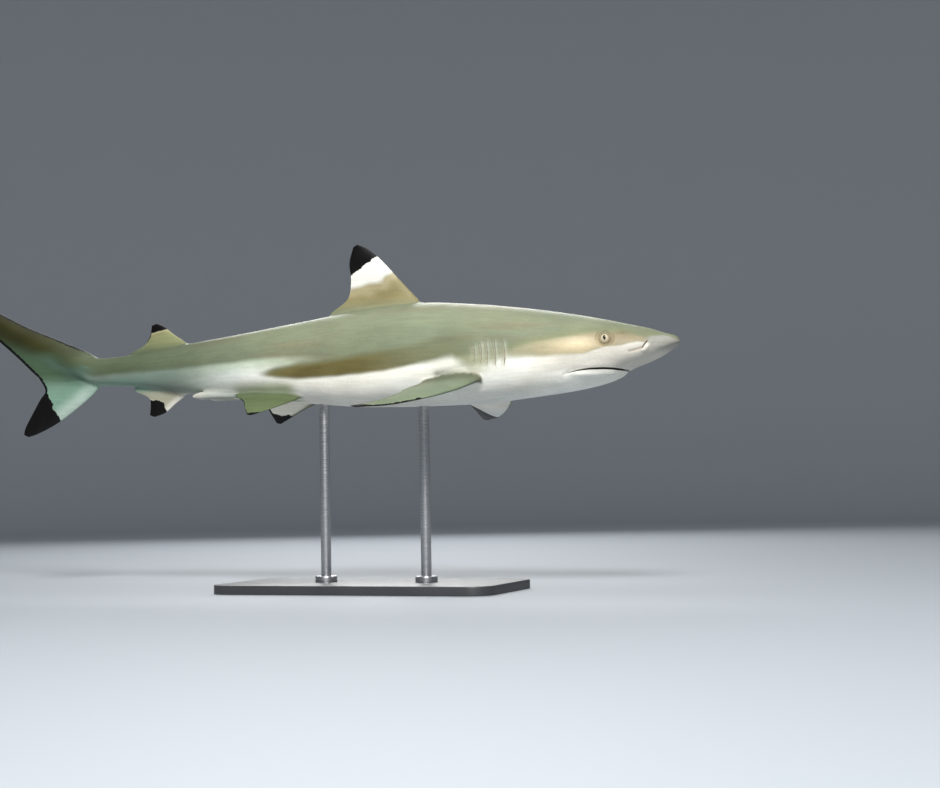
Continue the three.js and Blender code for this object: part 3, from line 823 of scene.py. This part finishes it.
# Heights of the borders of the body's colours along the body.
WHITE_EDGE = ([0, 1.7, 3.9, 5.7, 7.4, 9.8, 13.8, 16.7, 18.6, 20.8, 22.8, 25, 28.8, 33.6, 39.7, 46.2, 50.6, 60],
              [0, -0.15, 0.1, -0.28, -0.33, -1.0, -1.11, -1.11, -1.15, -1.6, -2.0, -0.9, -1.38, -2.07, -2.31,
               -2.34, -1.75, -1.7])
WEDGE_TOP = ([20, 26.5, 29.7, 33.5, 39.6, 44.9, 48.3, 50.6, 60],
             [2.0, 1.5, 0.8, 0.3, -0.42, -0.72, -1.1, -1.65, -2.6])
BAND_TOP = ([30, 37.9, 40.5, 45.6, 51.3, 57.2, 63.2, 71.4, 74.1, 76, 77, 78, 80.6, 84.4, 87.2, 89.4, 96],
            [0.9, 0.35, 0.3, 0.45, 0.36, 0.07, -0.23, -0.33, -0.47, -0.4, 0.2, 0.9, 1.9, 3.5, 5.0, 6.5, 10.2])


def mix(a, b, share):
    """One colour or more turned into another by a share at each place."""
    return a + (b - a) * share[..., None]


def back_colour(c):
    colour = mix(BACK, BROWN_BACK, 0.5 * step(0.1, 1.4, waver(c, [3.5, 1.5, 0.45], 5)))
    colour = colour * (1 + 0.06 * waver(c, [6, 2, 1.2], 6))[:, None]
    # Painted shade: the back darkens towards the tail.
    return mix(colour, REAR_BACK, step(45, 72, c[:, 0]))


def body_colour(c):
    """White below, olive or bronze above, and a pale band along the rear half, with the head, tail and roots."""
    station, side, height = c.T
    p = c[:, FROM_SIDE]
    height = height + 0.05 * waver(c, [1.2, 2, 0.5], 3)
    band_top = np.interp(station, *BAND_TOP)
    wedge_top = np.interp(station, *WEDGE_TOP)
    under = height - np.interp(station, *WHITE_EDGE)
    soft = np.interp(station, [0, 10, 24, 30, 60], [0.14, 0.2, 0.7, 0.3, 0.4])
    dark = step(-soft, soft, under)
    # Painted shade: the head's white is darker than the belly's, and greyer still before the nostrils.
    white = mix(SHADED_HEAD_WHITE, BELLY, np.maximum(step(11, 17, station), step(2.5, 3.2, -height)))
    white = mix(white, SNOUT * 1.15, (1 - step(2.4, 3.4, station)) * (1 - step(0.4, 1.3, -height)))
    colour = mix(white, back_colour(c), dark)
    colour = mix(colour, head_colour(c), dark * (1 - step(14, 23, station)))
    below_band = step(-0.15, 0.6, band_top - height)
    band = step(-0.3, 0.4, height - wedge_top) * below_band * step(39, 55, station)
    rear = step(48, 52, station) * below_band
    pale = mix(PALE_BAND, BELLY, step(0.3, 2.4, band_top - height) * (1 - step(56, 68, station)))
    # Painted shade: the band greys and darkens towards the tail, most on the peduncle's lower side.
    pale = mix(pale, REAR_PALE, step(50, 66, station))
    pale = mix(pale, SHADED_PEDUNCLE, step(64, 73, station) * step(0.4, 1.5, band_top - height))
    colour = mix(colour, pale, np.maximum(band, rear))
    colour = mix(colour, TAIL_DARK, 0.15 * bump(0.12, 0.35, height - band_top) * step(70, 77, station))
    wedge = dark * step(-0.4, 0.6, wedge_top - height) * (1 - step(49.2, 51.4, station))
    wedge *= 0.3 * step(21, 25, station) + 0.68 * step(26, 39, station)
    colour = mix(colour, BRONZE * (1 + 0.12 * waver(c, [3, 1, 0.35], 8))[:, None], wedge)
    colour = mix(colour, tail_colour(c), step(74.2, 78.5, station))
    # Painted shade along the nostril's groove.
    nostril = groove(p, NOSTRIL_GROOVE, 0.12) * (np.abs(side) > 1.5)
    colour = mix(colour, NOSTRIL_SHADE, 0.8 * nostril)
    # A painted highlight on the nostril's flap.
    flap = groove(p, NOSTRIL_FLAP, 0.15) * (np.abs(side) > 1.2)
    colour = mix(colour, FIN_WHITE, 0.45 * flap)
    return root_colours(gill_colours(colour, c), c)


def gill_colours(colour, c):
    """Painted highlight on the flaps between the gill slits, and painted shade behind each slit."""
    station, height = c[:, FROM_SIDE].T
    for gill in GILLS:
        _, top, bottom, _ = gill
        x = station - gill_line(gill, height)
        inside = between(bottom - 0.3, bottom + 0.5, top - 0.5, top + 0.3, height)
        # A painted highlight on each flap, and painted shade just behind each slit.
        colour = mix(colour, GILL_FLAP_HIGHLIGHT, 0.45 * inside * bump(-0.2, 0.2, x))
        colour = mix(colour, GILL_SHADE, 0.5 * inside * bump(0.14, 0.18, x))
    return colour


def root_colours(colour, c):
    """Olive and khaki-grey painted shade on the flank over the pelvic fins' roots, olive round the pectoral fins'
    roots, and the brown spot before the latter.
    """
    station, side, height = c.T
    p = c[:, FROM_SIDE]
    flank = step(1.0, 2.0, np.abs(side))
    # Painted shade on the flank above the pelvic fins' roots: olive low down, khaki grey higher up.
    pelvic_root_shade = between(45.0, 47.5, 53.5, 55.5, station) * step(2.3, 3.5, -height)
    colour = mix(colour, PELVIC_OLIVE * 1.9, 0.85 * pelvic_root_shade * step(0.9, 1.6, np.abs(side)))
    shade = between(45, 49.5, 53, 60, station) * step(1.6, 2.8, -height) * flank
    colour = mix(colour, PELVIC_SHADE, 0.5 * shade)
    axil = groove(p, [(22.4, -3.0), (24.5, -2.75), (27.0, -2.7)], 0.42)
    colour = mix(colour, ROOT_GREEN * 1.3, 0.75 * axil * flank)
    khaki = bump(22.3, 2.2, station) * between(0.3, 1.2, 2.4, 3.2, -height)
    colour = mix(colour, KHAKI, 0.6 * khaki * flank)
    spot = bump(22.5, 0.5, station) * bump(-3.1, 0.42, height) * flank
    return mix(colour, SPOT_BROWN, 0.65 * spot)


def head_colour(c):
    """The upper side of the head: olive on top, and cream to tan round the eye and over the gills."""
    station, height = c[:, FROM_SIDE].T
    line = np.interp(station, [0, 3, 5.8, 9, 12.5, 15.8, 18.7, 22], [0.15, 0.35, 1.2, 1.3, 0.9, 0.45, -0.25, -0.5])
    over = height - line
    colour = mix(TAN, LOW_TAN, step(9, 13, station))
    colour = mix(colour, CREAM, bump(10.6, 2.6, station) * bump(-0.05, 0.85, height))
    colour = mix(colour, back_colour(c), step(-0.2, 0.35, over))
    olive = np.interp(station, [3.5, 6, 9, 12, 18, 22], [0, 0.6, 0.55, 0.85, 0.8, 0])
    colour = mix(colour, HEAD_OLIVE, olive * bump(0.15, 0.38, over))
    colour = mix(colour, EYE_SMUDGE, 0.6 * bump(5.75, 0.8, station) * bump(1.15, 0.24, height))
    limit = np.interp(station, [0, 0.5, 1.4, 3, 4], [0.3, 0.5, 0.78, 0.6, 0.1])
    return mix(colour, SNOUT, (1 - step(2.5, 3.4, station)) * (1 - step(-0.16, 0.14, height - limit)))


def line_distance(p, line):
    """Distance in a plane to a line of places, positive on the left as the line is walked."""
    distance, turn = np.full(len(p), 99.0), np.ones(len(p))
    for apart, side in segments(p, line):
        turn = np.where(apart < distance, side, turn)
        distance = np.minimum(distance, apart)
    return distance * turn


def edge_distance(p, points, plane=FROM_SIDE):
    """Distance in a plane to the curve through the points."""
    flat = np.array(points, float)[:, plane]
    return np.abs(line_distance(p, curve_through(flat, np.linspace(0, 1, EDGE_PLACES))))


# Borders of the fins' markings: (station, height) places, and (station, side) places on the pectoral fins.
D1_BLACK = [(33, 14.2), (36.61, 12.23), (37.54, 11.57), (38.74, 10.93), (39.8, 10.27), (42, 8.9)]
D1_WHITE = [(33.6, 11.8), (34.83, 10.13), (35.75, 8.98), (37.06, 8.67), (40.03, 8.4), (43, 8.2)]
D2_BLACK = [(63, 5.35), (66.11, 4.86), (68.09, 4.51), (70, 4.2)]
ANAL_BLACK = [(70, -3.8), (68.15, -3.91), (66.94, -3.99), (66.18, -4.27), (65.86, -5.34), (65.8, -7)]
LOBE_BLACK = [(83.4, -1.9), (82.86, -2.72), (82.6, -3.32), (82.05, -3.93), (82.16, -4.52), (81.61, -5.03),
              (81.17, -5.63), (81.06, -6.03), (80.6, -7.5)]
PECTORAL_BLACK = [(26.4, 19.6), (27.6, 18.0), (28.5, 16.8), (28.9, 15.5), (29.1, 14.0), (29.6, 12.2), (31, 10.0)]
PELVIC_BLACK = [(55, -5.2), (53.45, -5.75), (52.6, -6.04), (51.7, -6.31), (50.6, -6.2), (49.9, -6.6), (49.2, -8)]
TAIL_MARGIN = [(97.6, 9.8), (94.3, 8.0), (90.6, 5.0), (87.5, 2.4), (85.2, 0.3), (84.0, -0.85), (83.3, -1.9),
               (83.4, -2.9)]
DARK_LINE = [(77.9, 1.14), (80.6, 2.04), (84.35, 3.6), (89.4, 6.6), (96, 10.2)]


def paint_first_dorsal(c, up):
    p = c[:, FROM_SIDE]
    white = line_distance(p, D1_WHITE) + 0.22 * waver(c, [0.9, 1, 0.5], 21)
    colour = mix(BACK, FIN_TAN, step(5.0, 7.4, c[:, 2]))
    colour = mix(colour, CREAM, 0.35 * bump(-0.5, 0.6, white))
    colour = mix(colour, FIN_WHITE, step(-0.35, 0.5, white))
    return colour, line_distance(p, D1_BLACK) + 0.1 * waver(c, [0.5, 1, 0.4], 22)


def paint_second_dorsal(c, up):
    p = c[:, FROM_SIDE]
    ink = line_distance(p, D2_BLACK)
    margin = np.minimum(0.09 - edge_distance(p, SECOND_DORSAL["trailing"]), c[:, 2] - 3.4)
    colour = mix(REAR_BACK, FIN_OLIVE, step(1.8, 4.0, c[:, 2]))
    colour = mix(colour, FIN_TAN, 0.7 * bump(-0.25, 0.35, ink) * step(65, 67.5, c[:, 0]))
    return mix(colour, CREAM, 0.35 * bump(-0.1, 0.13, ink)), np.maximum(ink, margin)


def paint_anal(c, up):
    p = c[:, FROM_SIDE]
    ink = line_distance(p, ANAL_BLACK)
    front = edge_distance(p, ANAL["leading"])
    # The anal fin's root takes the peduncle's colour, darkened as painted shade.
    colour = mix(SHADED_PEDUNCLE, FIN_CREAM, step(2.4, 3.2, -c[:, 2]))
    return mix(colour, FIN_WHITE, 0.6 * (1 - step(0.1, 0.9, front))), ink


def tail_colour(c):
    """The tail fin: olive brown above a soft line, grey green below it and paler down the lower lobe, all of it
    darkened partly as painted shade, most of all towards the tip.
    """
    p = c[:, FROM_SIDE]
    station, height = p.T
    dark = line_distance(p, DARK_LINE) + 0.2 * waver(c, [2.5, 1, 0.6], 11)
    # Partly the tail's own olive brown and partly painted shade, darker towards the end.
    above = mix(REAR_BACK, TAIL_OLIVE, step(74, 85, station))
    above = above * (1 + 0.16 * waver(c, [1.6, 1, 0.5], 12))[:, None]
    pale = np.maximum(0.55 * bump(-1.4, 0.5, dark) * between(76, 78, 80, 86, station), 1 - step(75, 79, station))
    below = mix(TAIL_GREEN, TAIL_PALE, pale)
    front = edge_distance(p, CAUDAL_LOWER["leading"])
    lobe = mix(LOBE_GREEN, LOBE_PALE, 1 - step(0.5, 2.2, front))
    below = mix(below, lobe, step(0, 2.6, -height))
    colour = mix(below, above, step(-1.5, 0.5, dark + 1.5 * step(82, 90, station)))
    # Painted shade towards the upper lobe's tip.
    return mix(colour, TAIL_DARK, 0.3 * step(83, 95, station))


def paint_caudal_upper(c, up):
    p = c[:, FROM_SIDE]
    trailing = 0.36 - np.abs(line_distance(p, TAIL_MARGIN))
    leading = 0.2 * step(75.6, 80, c[:, 0]) - edge_distance(p, CAUDAL_UPPER["leading"][1:])
    ink = np.maximum(trailing, np.maximum(leading, 0.7 * (c[:, 0] - 96.3)))
    return body_colour(c), ink


def paint_caudal_lower(c, up):
    p = c[:, FROM_SIDE]
    black = line_distance(p, LOBE_BLACK)
    margin = 0.3 - np.abs(line_distance(p, TAIL_MARGIN))
    return body_colour(c), np.maximum(black, margin)


def paint_pectoral(c, up):
    p = np.abs(c[:, FROM_ABOVE])
    station, side = p.T
    from_front, from_rear = (edge_distance(p, PECTORAL[edge], FROM_ABOVE) for edge in ("leading", "trailing"))
    rear, front = np.minimum(0.07 - from_rear, side - 11), np.minimum(0.07 - from_front, side - 14)
    tip = np.where(up > 0.5, side - 19.2 + 0.2 * (station - 29), line_distance(p, PECTORAL_BLACK))
    # Painted shade: the upper colour is carried round the leading edge onto the underside.
    up = np.maximum(up, 1 - step(0.15, 0.45, from_front))
    upper = mix(ROOT_GREEN, GREEN_GREY, step(5, 9, side))
    upper = mix(upper, BROWN_BACK, 0.4 * step(0.2, 1.3, waver(c, [1, 3, 2], 13)))
    return mix(BELLY, upper, up), np.max([tip, rear, front], axis=0)


def paint_pelvic(c, up):
    ink = np.full(len(c), NO_INK)
    t = np.linspace(0, 1, 24)
    for side in SIGNS:
        mine = (c[:, 1] > 0) == (side > 0)
        line = (curve_through(PELVIC["trailing"], t) + t[:, None] ** 2 * PELVIC_SWING[side])[:, FROM_SIDE]
        p = c[mine][:, FROM_SIDE]
        margin = np.abs(line_distance(p, line))
        drop = PELVIC_SWING[side][2]
        upper = np.maximum(np.minimum(0.1 - margin, -4.1 - p[:, 1]), -6.2 + drop - p[:, 1])
        raised = p - [0, drop - PELVIC_SWING[1][2]]
        under = np.maximum(np.minimum(0.25 - margin, -4.6 - p[:, 1]), line_distance(raised, PELVIC_BLACK))
        ink[mine] = np.where(up[mine] > 0.5, upper, under)
    front = edge_distance(np.abs(c[:, FROM_ABOVE]), PELVIC["leading"], FROM_ABOVE)
    # Painted shade: the upper colour is carried round the leading edge onto the underside.
    up = np.maximum(up, 1 - step(0.15, 0.5, front))
    upper_colour = mix(PELVIC_OLIVE, REAR_PALE, 0.15 * (1 - step(3.6, 4.6, -c[:, 2])))
    return mix(BELLY, upper_colour, up), ink


def paint_clasper(c, up):
    return mix(CLASPER_PALE, CLASPER_TIP, step(58, 61, c[:, 0])), np.full(len(c), NO_INK)


# One for each fin, in the order of all_fins(). Each takes places and how far the skin there faces up, from 0 to 1,
# and gives the colours and how far inside a black marking the places are.
PAINTS = [paint_first_dorsal, paint_second_dorsal, paint_anal, paint_caudal_upper, paint_caudal_lower]
PAINTS += [paint_pectoral, paint_pelvic, paint_clasper] * 2
PELVICS = [i for i, paint in enumerate(PAINTS) if paint is paint_pelvic]
UPPER_LOBE = PAINTS.index(paint_caudal_upper)
# How near the body or a fin a place has to be to count as part of it.
PAINT_REACH = 12 * MM


def store(obj, name, values, kind="FLOAT", key="value"):
    """Keeps a value or a colour of each vertex for the materials."""
    attribute = obj.data.attributes.new(name, kind, "POINT")
    attribute.data.foreach_set(key, np.asarray(values, np.float32).ravel())


def paint_skin(obj, body_tree, fin_tree, owner):
    """Gives each vertex its colour, and its signed distance to the nearest black marking."""
    points, normals = points_of(obj), normals_of(obj)
    c = unplace(points)
    depth, _ = nearest(body_tree, points, PAINT_REACH)
    _, face = nearest(fin_tree, points, PAINT_REACH)
    part = np.where(face >= 0, owner[face], -1)
    on_fin = step(-0.2 * MM, 2.4 * MM, depth) * (part >= 0)
    colour = body_colour(c)
    ink = np.full(len(points), NO_INK)
    outward = 0.6 * normals[:, 2] + 0.8 * normals[:, 1] * np.sign(c[:, 1])
    up = step(-0.25, 0.2, np.where(np.isin(part, PELVICS), outward, normals[:, 2]))
    tail_tube = (part < 0) & (c[:, 0] > 80)
    for index, paint in enumerate(PAINTS):
        mine = (part == index) | (tail_tube & (index == UPPER_LOBE))
        own_colour, own_ink = paint(c[mine], up[mine])
        share = np.where(tail_tube[mine], 1, on_fin[mine])
        colour[mine] = mix(colour[mine], own_colour, share)
        ink[mine] = np.where(share > 0.05, own_ink, NO_INK)
    # Inside the cuts: near black in the mouth as its own colour, and the same as painted shadow in the nostrils
    # and round the eyes; tan inside the gill slits.
    cavity = step(0.5 * MM, 1.8 * MM, -depth)
    colour = mix(colour, MOUTH_INSIDE_AND_SHADOW, cavity * (c[:, 0] < 15))
    colour = mix(colour, GILL_INSIDE, cavity * (c[:, 0] > 15) * (c[:, 0] < 24))
    store(obj, "tone", np.column_stack([colour, np.ones(len(colour))]), "FLOAT_COLOR", "color")
    store(obj, "ink", np.clip(ink, -1, 1))


# --- materials
NOISE_RANGE = (0.3, 0.7)


class Nodes:
    """Short calls for building a node material."""

    def __init__(self, name):
        self.material = bpy.data.materials.new(name)
        self.material.use_nodes = True
        self.tree = self.material.node_tree
        self.shader = self.tree.nodes["Principled BSDF"]
        self.place = self.add("TexCoord", output="Object")

    def add(self, kind, inputs=(), output=0, **settings):
        """Adds a node with its settings, sets or links its inputs, and gives one of its outputs."""
        node = self.tree.nodes.new("ShaderNode" + kind)
        for key, value in settings.items():
            setattr(node, key, value)
        for key, value in dict(inputs).items():
            self.link(value, node.inputs[key])
        return node.outputs[output]

    def link(self, value, socket):
        if isinstance(value, bpy.types.NodeSocket):
            self.tree.links.new(value, socket)
        else:
            socket.default_value = value

    def attribute(self, name, output="Fac"):
        return self.add("Attribute", output=output, attribute_name=name)

    def noise(self, scale, detail=3.0, stretch=None):
        place = self.place
        if stretch:
            place = self.add("Mapping", {"Vector": place, "Scale": stretch}, "Vector")
        return self.add("TexNoise", {"Vector": place, "Scale": scale, "Detail": detail}, "Fac")

    def math(self, operation, *values):
        return self.add("Math", enumerate(values), operation=operation)

    def ramp(self, value, low, high, to_low=0.0, to_high=1.0):
        return self.add("MapRange", enumerate((value, low, high, to_low, to_high)))

    def spread(self, noise, low=0.0, high=1.0):
        """The usual range of a noise, stretched to run from low to high."""
        return self.ramp(noise, *NOISE_RANGE, low, high)

    def blend(self, share, a, b, kind="MIX"):
        return self.add("Mix", {"Factor": share, 6: a, 7: b}, 2, data_type="RGBA", blend_type=kind)

    def times(self, colour, value):
        """A colour times another, or times a value."""
        if value.type != "RGBA":
            value = self.add("CombineColor", enumerate([value] * 3))
        return self.blend(1.0, colour, value, "MULTIPLY")

    def bump(self, height, distance, strength):
        normal = self.add("Bump", {"Distance": distance, "Strength": strength, "Height": height}, "Normal")
        self.link(normal, self.shader.inputs["Normal"])

    def finish(self, obj, **inputs):
        """Sets or links the shader's inputs, and gives the material to the object."""
        for name, value in inputs.items():
            self.link(value, self.shader.inputs[name.replace("_", " ")])
        obj.data.materials.clear()
        obj.data.materials.append(self.material)


def skin_material(obj):
    m = Nodes("skin")
    patches = m.spread(m.noise(16, 5), 0.9, 1.08)
    streaks = m.spread(m.noise(1, 3, (22, 240, 240)), 0.93, 1.06)
    grain = m.spread(m.noise(420, 2), 0.95, 1.05)
    shade = m.math("MULTIPLY", m.math("MULTIPLY", patches, streaks), grain)
    warmth = m.ramp(m.noise(9, 4, (0.45, 1, 1)), 0.32, 0.68)
    tint = m.blend(warmth, (1.045, 1.0, 0.93, 1), (0.965, 1.0, 1.02, 1))
    tone = m.times(m.times(m.attribute("tone", "Color"), shade), tint)
    ragged = m.math("MULTIPLY_ADD", m.noise(210, 3), 0.34, -0.17)
    ink = m.math("ADD", m.attribute("ink"), ragged)
    colour = m.blend(m.ramp(ink, -0.03, 0.04), tone, BLACK)
    denticles = m.math("MULTIPLY_ADD", m.noise(1500, 2), 0.5, m.math("MULTIPLY", m.noise(500, 2), 0.5))
    m.bump(denticles, 0.0003, 0.5)
    roughness = m.spread(m.noise(60, 3), 0.42, 0.52)
    m.finish(obj, Base_Color=colour, Roughness=roughness, Specular_IOR_Level=0.22)


def eye(name, sign):
    """The eyeball, with the distances in millimetres that its material draws the iris from."""
    obj = shape_object(name, bmesh.ops.create_uvsphere, u_segments=128, v_segments=96, radius=EYE_RADIUS)
    obj.data.transform(eye_turn(sign))
    world = points_of(obj) - eye_centre(sign)
    axis = eye_axis(sign)
    upward = np.array([0, 0, 1]) - axis[2] * axis
    upward /= np.linalg.norm(upward)
    forward = np.cross(upward, axis) * sign
    x, y = world @ forward / MM, world @ upward / MM
    front = world @ axis > 0
    pupil = 2.1 * (1 - np.clip(np.abs(y - 0.1) / 4.0, 0, 1) ** 1.9) - np.abs(x - 0.08 * y)
    store(obj, "pupil", np.where(front, pupil, -2))
    store(obj, "radius", np.where(front, np.hypot(x, y), 12.0))
    shade_smooth(obj)
    eye_material(obj)
    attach(obj, "root")
    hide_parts(name)
    obj.name = name + "_ball"


def eye_material(obj):
    m = Nodes("eye")
    radius = m.attribute("radius")
    fibres = m.spread(m.noise(900, 3), 0.82, 1.1)
    iris = m.blend(m.ramp(radius, 1.4, 3.6), (0.34, 0.28, 0.15, 1), (0.52, 0.46, 0.32, 1))
    limbus = m.blend(m.ramp(radius, 4.7, 5.3), m.times(iris, fibres), (0.26, 0.22, 0.15, 1))
    colour = m.blend(m.ramp(m.attribute("pupil"), -0.2, 0.15), limbus, (0.012, 0.012, 0.008, 1))
    roughness = m.spread(m.noise(300), 0.2, 0.28)
    m.finish(obj, Base_Color=colour, Roughness=roughness,
             Coat_Weight=0.05, Specular_IOR_Level=0.08, Coat_Roughness=0.04)


# --- stand
BASE = {"length": 460 * MM, "width": 220 * MM, "height": 14 * MM, "corner": 36 * MM, "chamfer": 2 * MM}
ROD = {"stations": [31, 44], "radius": 8 * MM, "socket": 26 * MM, "chamfer": 0.6 * MM}
COLLAR = {"radius": 17 * MM, "height": 9 * MM, "round": 1.6 * MM}
GAP = 0.2 * MM
QUARTER_TURN = np.linspace(0, np.pi / 2, 5)


def rounded_outline(length, width, corner, steps=14):
    """A rounded rectangle round the origin."""
    points = []
    for quarter, (sx, sy) in enumerate([(1, 1), (-1, 1), (-1, -1), (1, -1)]):
        angle = np.linspace(quarter, quarter + 1, steps) * np.pi / 2
        middle = np.array([sx * (length / 2 - corner), sy * (width / 2 - corner)])
        points.append(middle + corner * np.stack([np.cos(angle), np.sin(angle)], 1))
    return np.concatenate(points)


def stand_piece(obj, node, material):
    shade_smooth(obj)
    obj.data.set_sharp_from_angle(angle=math.radians(35))
    material(obj)
    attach(obj, "root")
    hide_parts(node)


def stand_base():
    soft = BASE["chamfer"]
    insets = [soft / 2, 0, *(soft * (1 - np.cos(QUARTER_TURN)))]
    heights = [0, soft / 2, *(BASE["height"] - soft * (1 - np.sin(QUARTER_TURN)))]
    rings = []
    for inset, height in zip(insets, heights):
        ring = rounded_outline(BASE["length"] - 2 * inset, BASE["width"] - 2 * inset, BASE["corner"] - inset)
        rings.append(np.column_stack([ring + stand_centre(), np.full(len(ring), height)]))
    obj = loft("stand_base_plate", rings, [*stand_centre(), 0], [*stand_centre(), BASE["height"]])
    stand_piece(obj, "stand_base", base_material)


def stand_centre():
    low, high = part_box("stand_base")
    return (np.array(low)[:2] + np.array(high)[:2]) / 2


def turned_ring(centre, radius, height, sides=48):
    angle = np.arange(sides) * 2 * np.pi / sides
    x, y = centre[0] + radius * np.cos(angle), centre[1] + radius * np.sin(angle)
    return np.stack([x, y, np.full(sides, height)], 1)


def stand_rod(name, station):
    centre = place([station, 0, 0])
    bottom, top = BASE["height"] + GAP, place([station, 0, profile(station, 2)])[2] + ROD["socket"]
    soft = ROD["chamfer"]
    rows = [(soft, bottom), (0, bottom + soft), (0, top - soft), (soft, top)]
    rings = [turned_ring(centre, ROD["radius"] - inset, height) for inset, height in rows]
    rod = loft(f"stand_rod_{name}_bar", rings, [*centre[:2], bottom], [*centre[:2], top])
    stand_piece(rod, f"stand_rod_{name}", steel_material)
    outer = COLLAR["radius"] - COLLAR["round"] * (1 - np.cos(QUARTER_TURN))
    rise = bottom + COLLAR["height"] - COLLAR["round"] * (1 - np.sin(QUARTER_TURN))
    inner = ROD["radius"] + GAP
    rows = [(inner, bottom), (COLLAR["radius"], bottom), *zip(outer, rise), (inner, bottom + COLLAR["height"])]
    collar = closed_loop(f"stand_collar_{name}_ring", [turned_ring(centre, r, z) for r, z in rows])
    stand_piece(collar, f"stand_collar_{name}", steel_material)


def closed_loop(name, rings):
    """A closed mesh through rings of equal count, whose last joins the first."""
    obj = make_object(name, np.concatenate(rings), band(len(rings), len(rings[0]), closed=True))
    tidy_normals(obj)
    return obj


def base_material(obj):
    m = Nodes("stand_base")
    grain = m.noise(900, 2)
    m.bump(grain, 0.0002, 0.35)
    colour = m.blend(m.spread(m.noise(9, 4)), (0.030, 0.031, 0.034, 1), (0.042, 0.043, 0.046, 1))
    m.finish(obj, Base_Color=colour, Roughness=m.spread(grain, 0.36, 0.5))


def steel_material(obj):
    m = Nodes("stand_steel")
    lines = m.noise(1, 2, (60, 60, 5200))
    m.bump(lines, 0.00005, 0.5)
    colour = m.blend(m.spread(lines), (0.50, 0.50, 0.51, 1), (0.66, 0.66, 0.67, 1))
    m.finish(obj, Base_Color=colour, Roughness=m.spread(lines, 0.24, 0.38), Metallic=1.0)


# --- pieces
skin, body_tree, fin_tree, fin_owner = build_skin()
paint_skin(skin, body_tree, fin_tree, fin_owner)
shade_smooth(skin)
skin_material(skin)
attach(skin, "root")
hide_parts(*FLESH)
eye("eye_left", 1)
eye("eye_right", -1)
stand_base()
for name, station in zip(("front", "rear"), ROD["stations"]):
    stand_rod(name, station)


# --- stage, light and camera
def studio():
    """A round pale floor that sweeps up into a wall."""
    floor, sweep, wall, sides = 4.6, 1.6, 6.0, 96
    turn = np.linspace(0.08, math.pi / 2, 16)
    outline = [(floor, 0), *zip(floor + sweep * np.sin(turn), sweep - sweep * np.cos(turn)), (floor + sweep, wall)]
    rings = [turned_ring((0, 0), radius, height, sides) for radius, height in outline]
    across, after = circuit(sides)
    middle = np.full(sides, len(rings) * sides)
    faces = [face[::-1] for face in band(len(rings), sides)] + np.stack([middle, across, after], 1).tolist()
    obj = make_object("studio", np.concatenate([*rings, [(0, 0, 0)]]), faces)
    shade_smooth(obj)
    m = Nodes("studio")
    m.finish(obj, Base_Color=(0.32, 0.345, 0.37, 1), Roughness=0.7)


def area_light(name, position, target, size, power):
    light = bpy.data.lights.new(name, "AREA")
    light.shape = "DISK"
    light.size = size
    light.energy = power
    obj = add_object(name, light)
    obj.location = position
    obj.rotation_euler = (Vector(target) - Vector(position)).to_track_quat("-Z", "Y").to_euler()


def camera():
    """The photo's camera: turned right by its yaw from looking along +Y, then up by its pitch, and rolled."""
    yaw, pitch, roll = -0.364891, 0.060161, -0.018086
    focal_length_px, image_width_px, sensor_mm = 1620, 940, 36
    level = Matrix.Rotation(-yaw, 4, "Z") @ Matrix.Rotation(math.pi / 2 + pitch, 4, "X")
    turn = level @ Matrix.Rotation(roll, 4, "Z")
    data = bpy.data.cameras.new("camera")
    data.sensor_width = sensor_mm
    data.lens = focal_length_px * sensor_mm / image_width_px
    obj = add_object("camera", data)
    obj.matrix_world = Matrix.Translation((1.0424, -2.2908, 0.1502)) @ turn
    bpy.context.scene.camera = obj


studio()
area_light("key", (1.25, -3.0, 2.4), (-0.05, 0, 0.35), 0.9, 209)
area_light("top", (-0.2, -0.1, 2.9), (-0.15, 0, 0.35), 2.4, 28)
area_light("back", (-1.0, 2.4, 1.7), (-0.1, 0, 0.4), 1.8, 50)
world = bpy.data.worlds.new("world")
world.use_nodes = True
background = world.node_tree.nodes["Background"]
background.inputs["Color"].default_value = (0.85, 0.92, 1, 1)
background.inputs["Strength"].default_value = 0.25
bpy.context.scene.world = world
bpy.context.scene.view_settings.view_transform = "Standard"
camera()
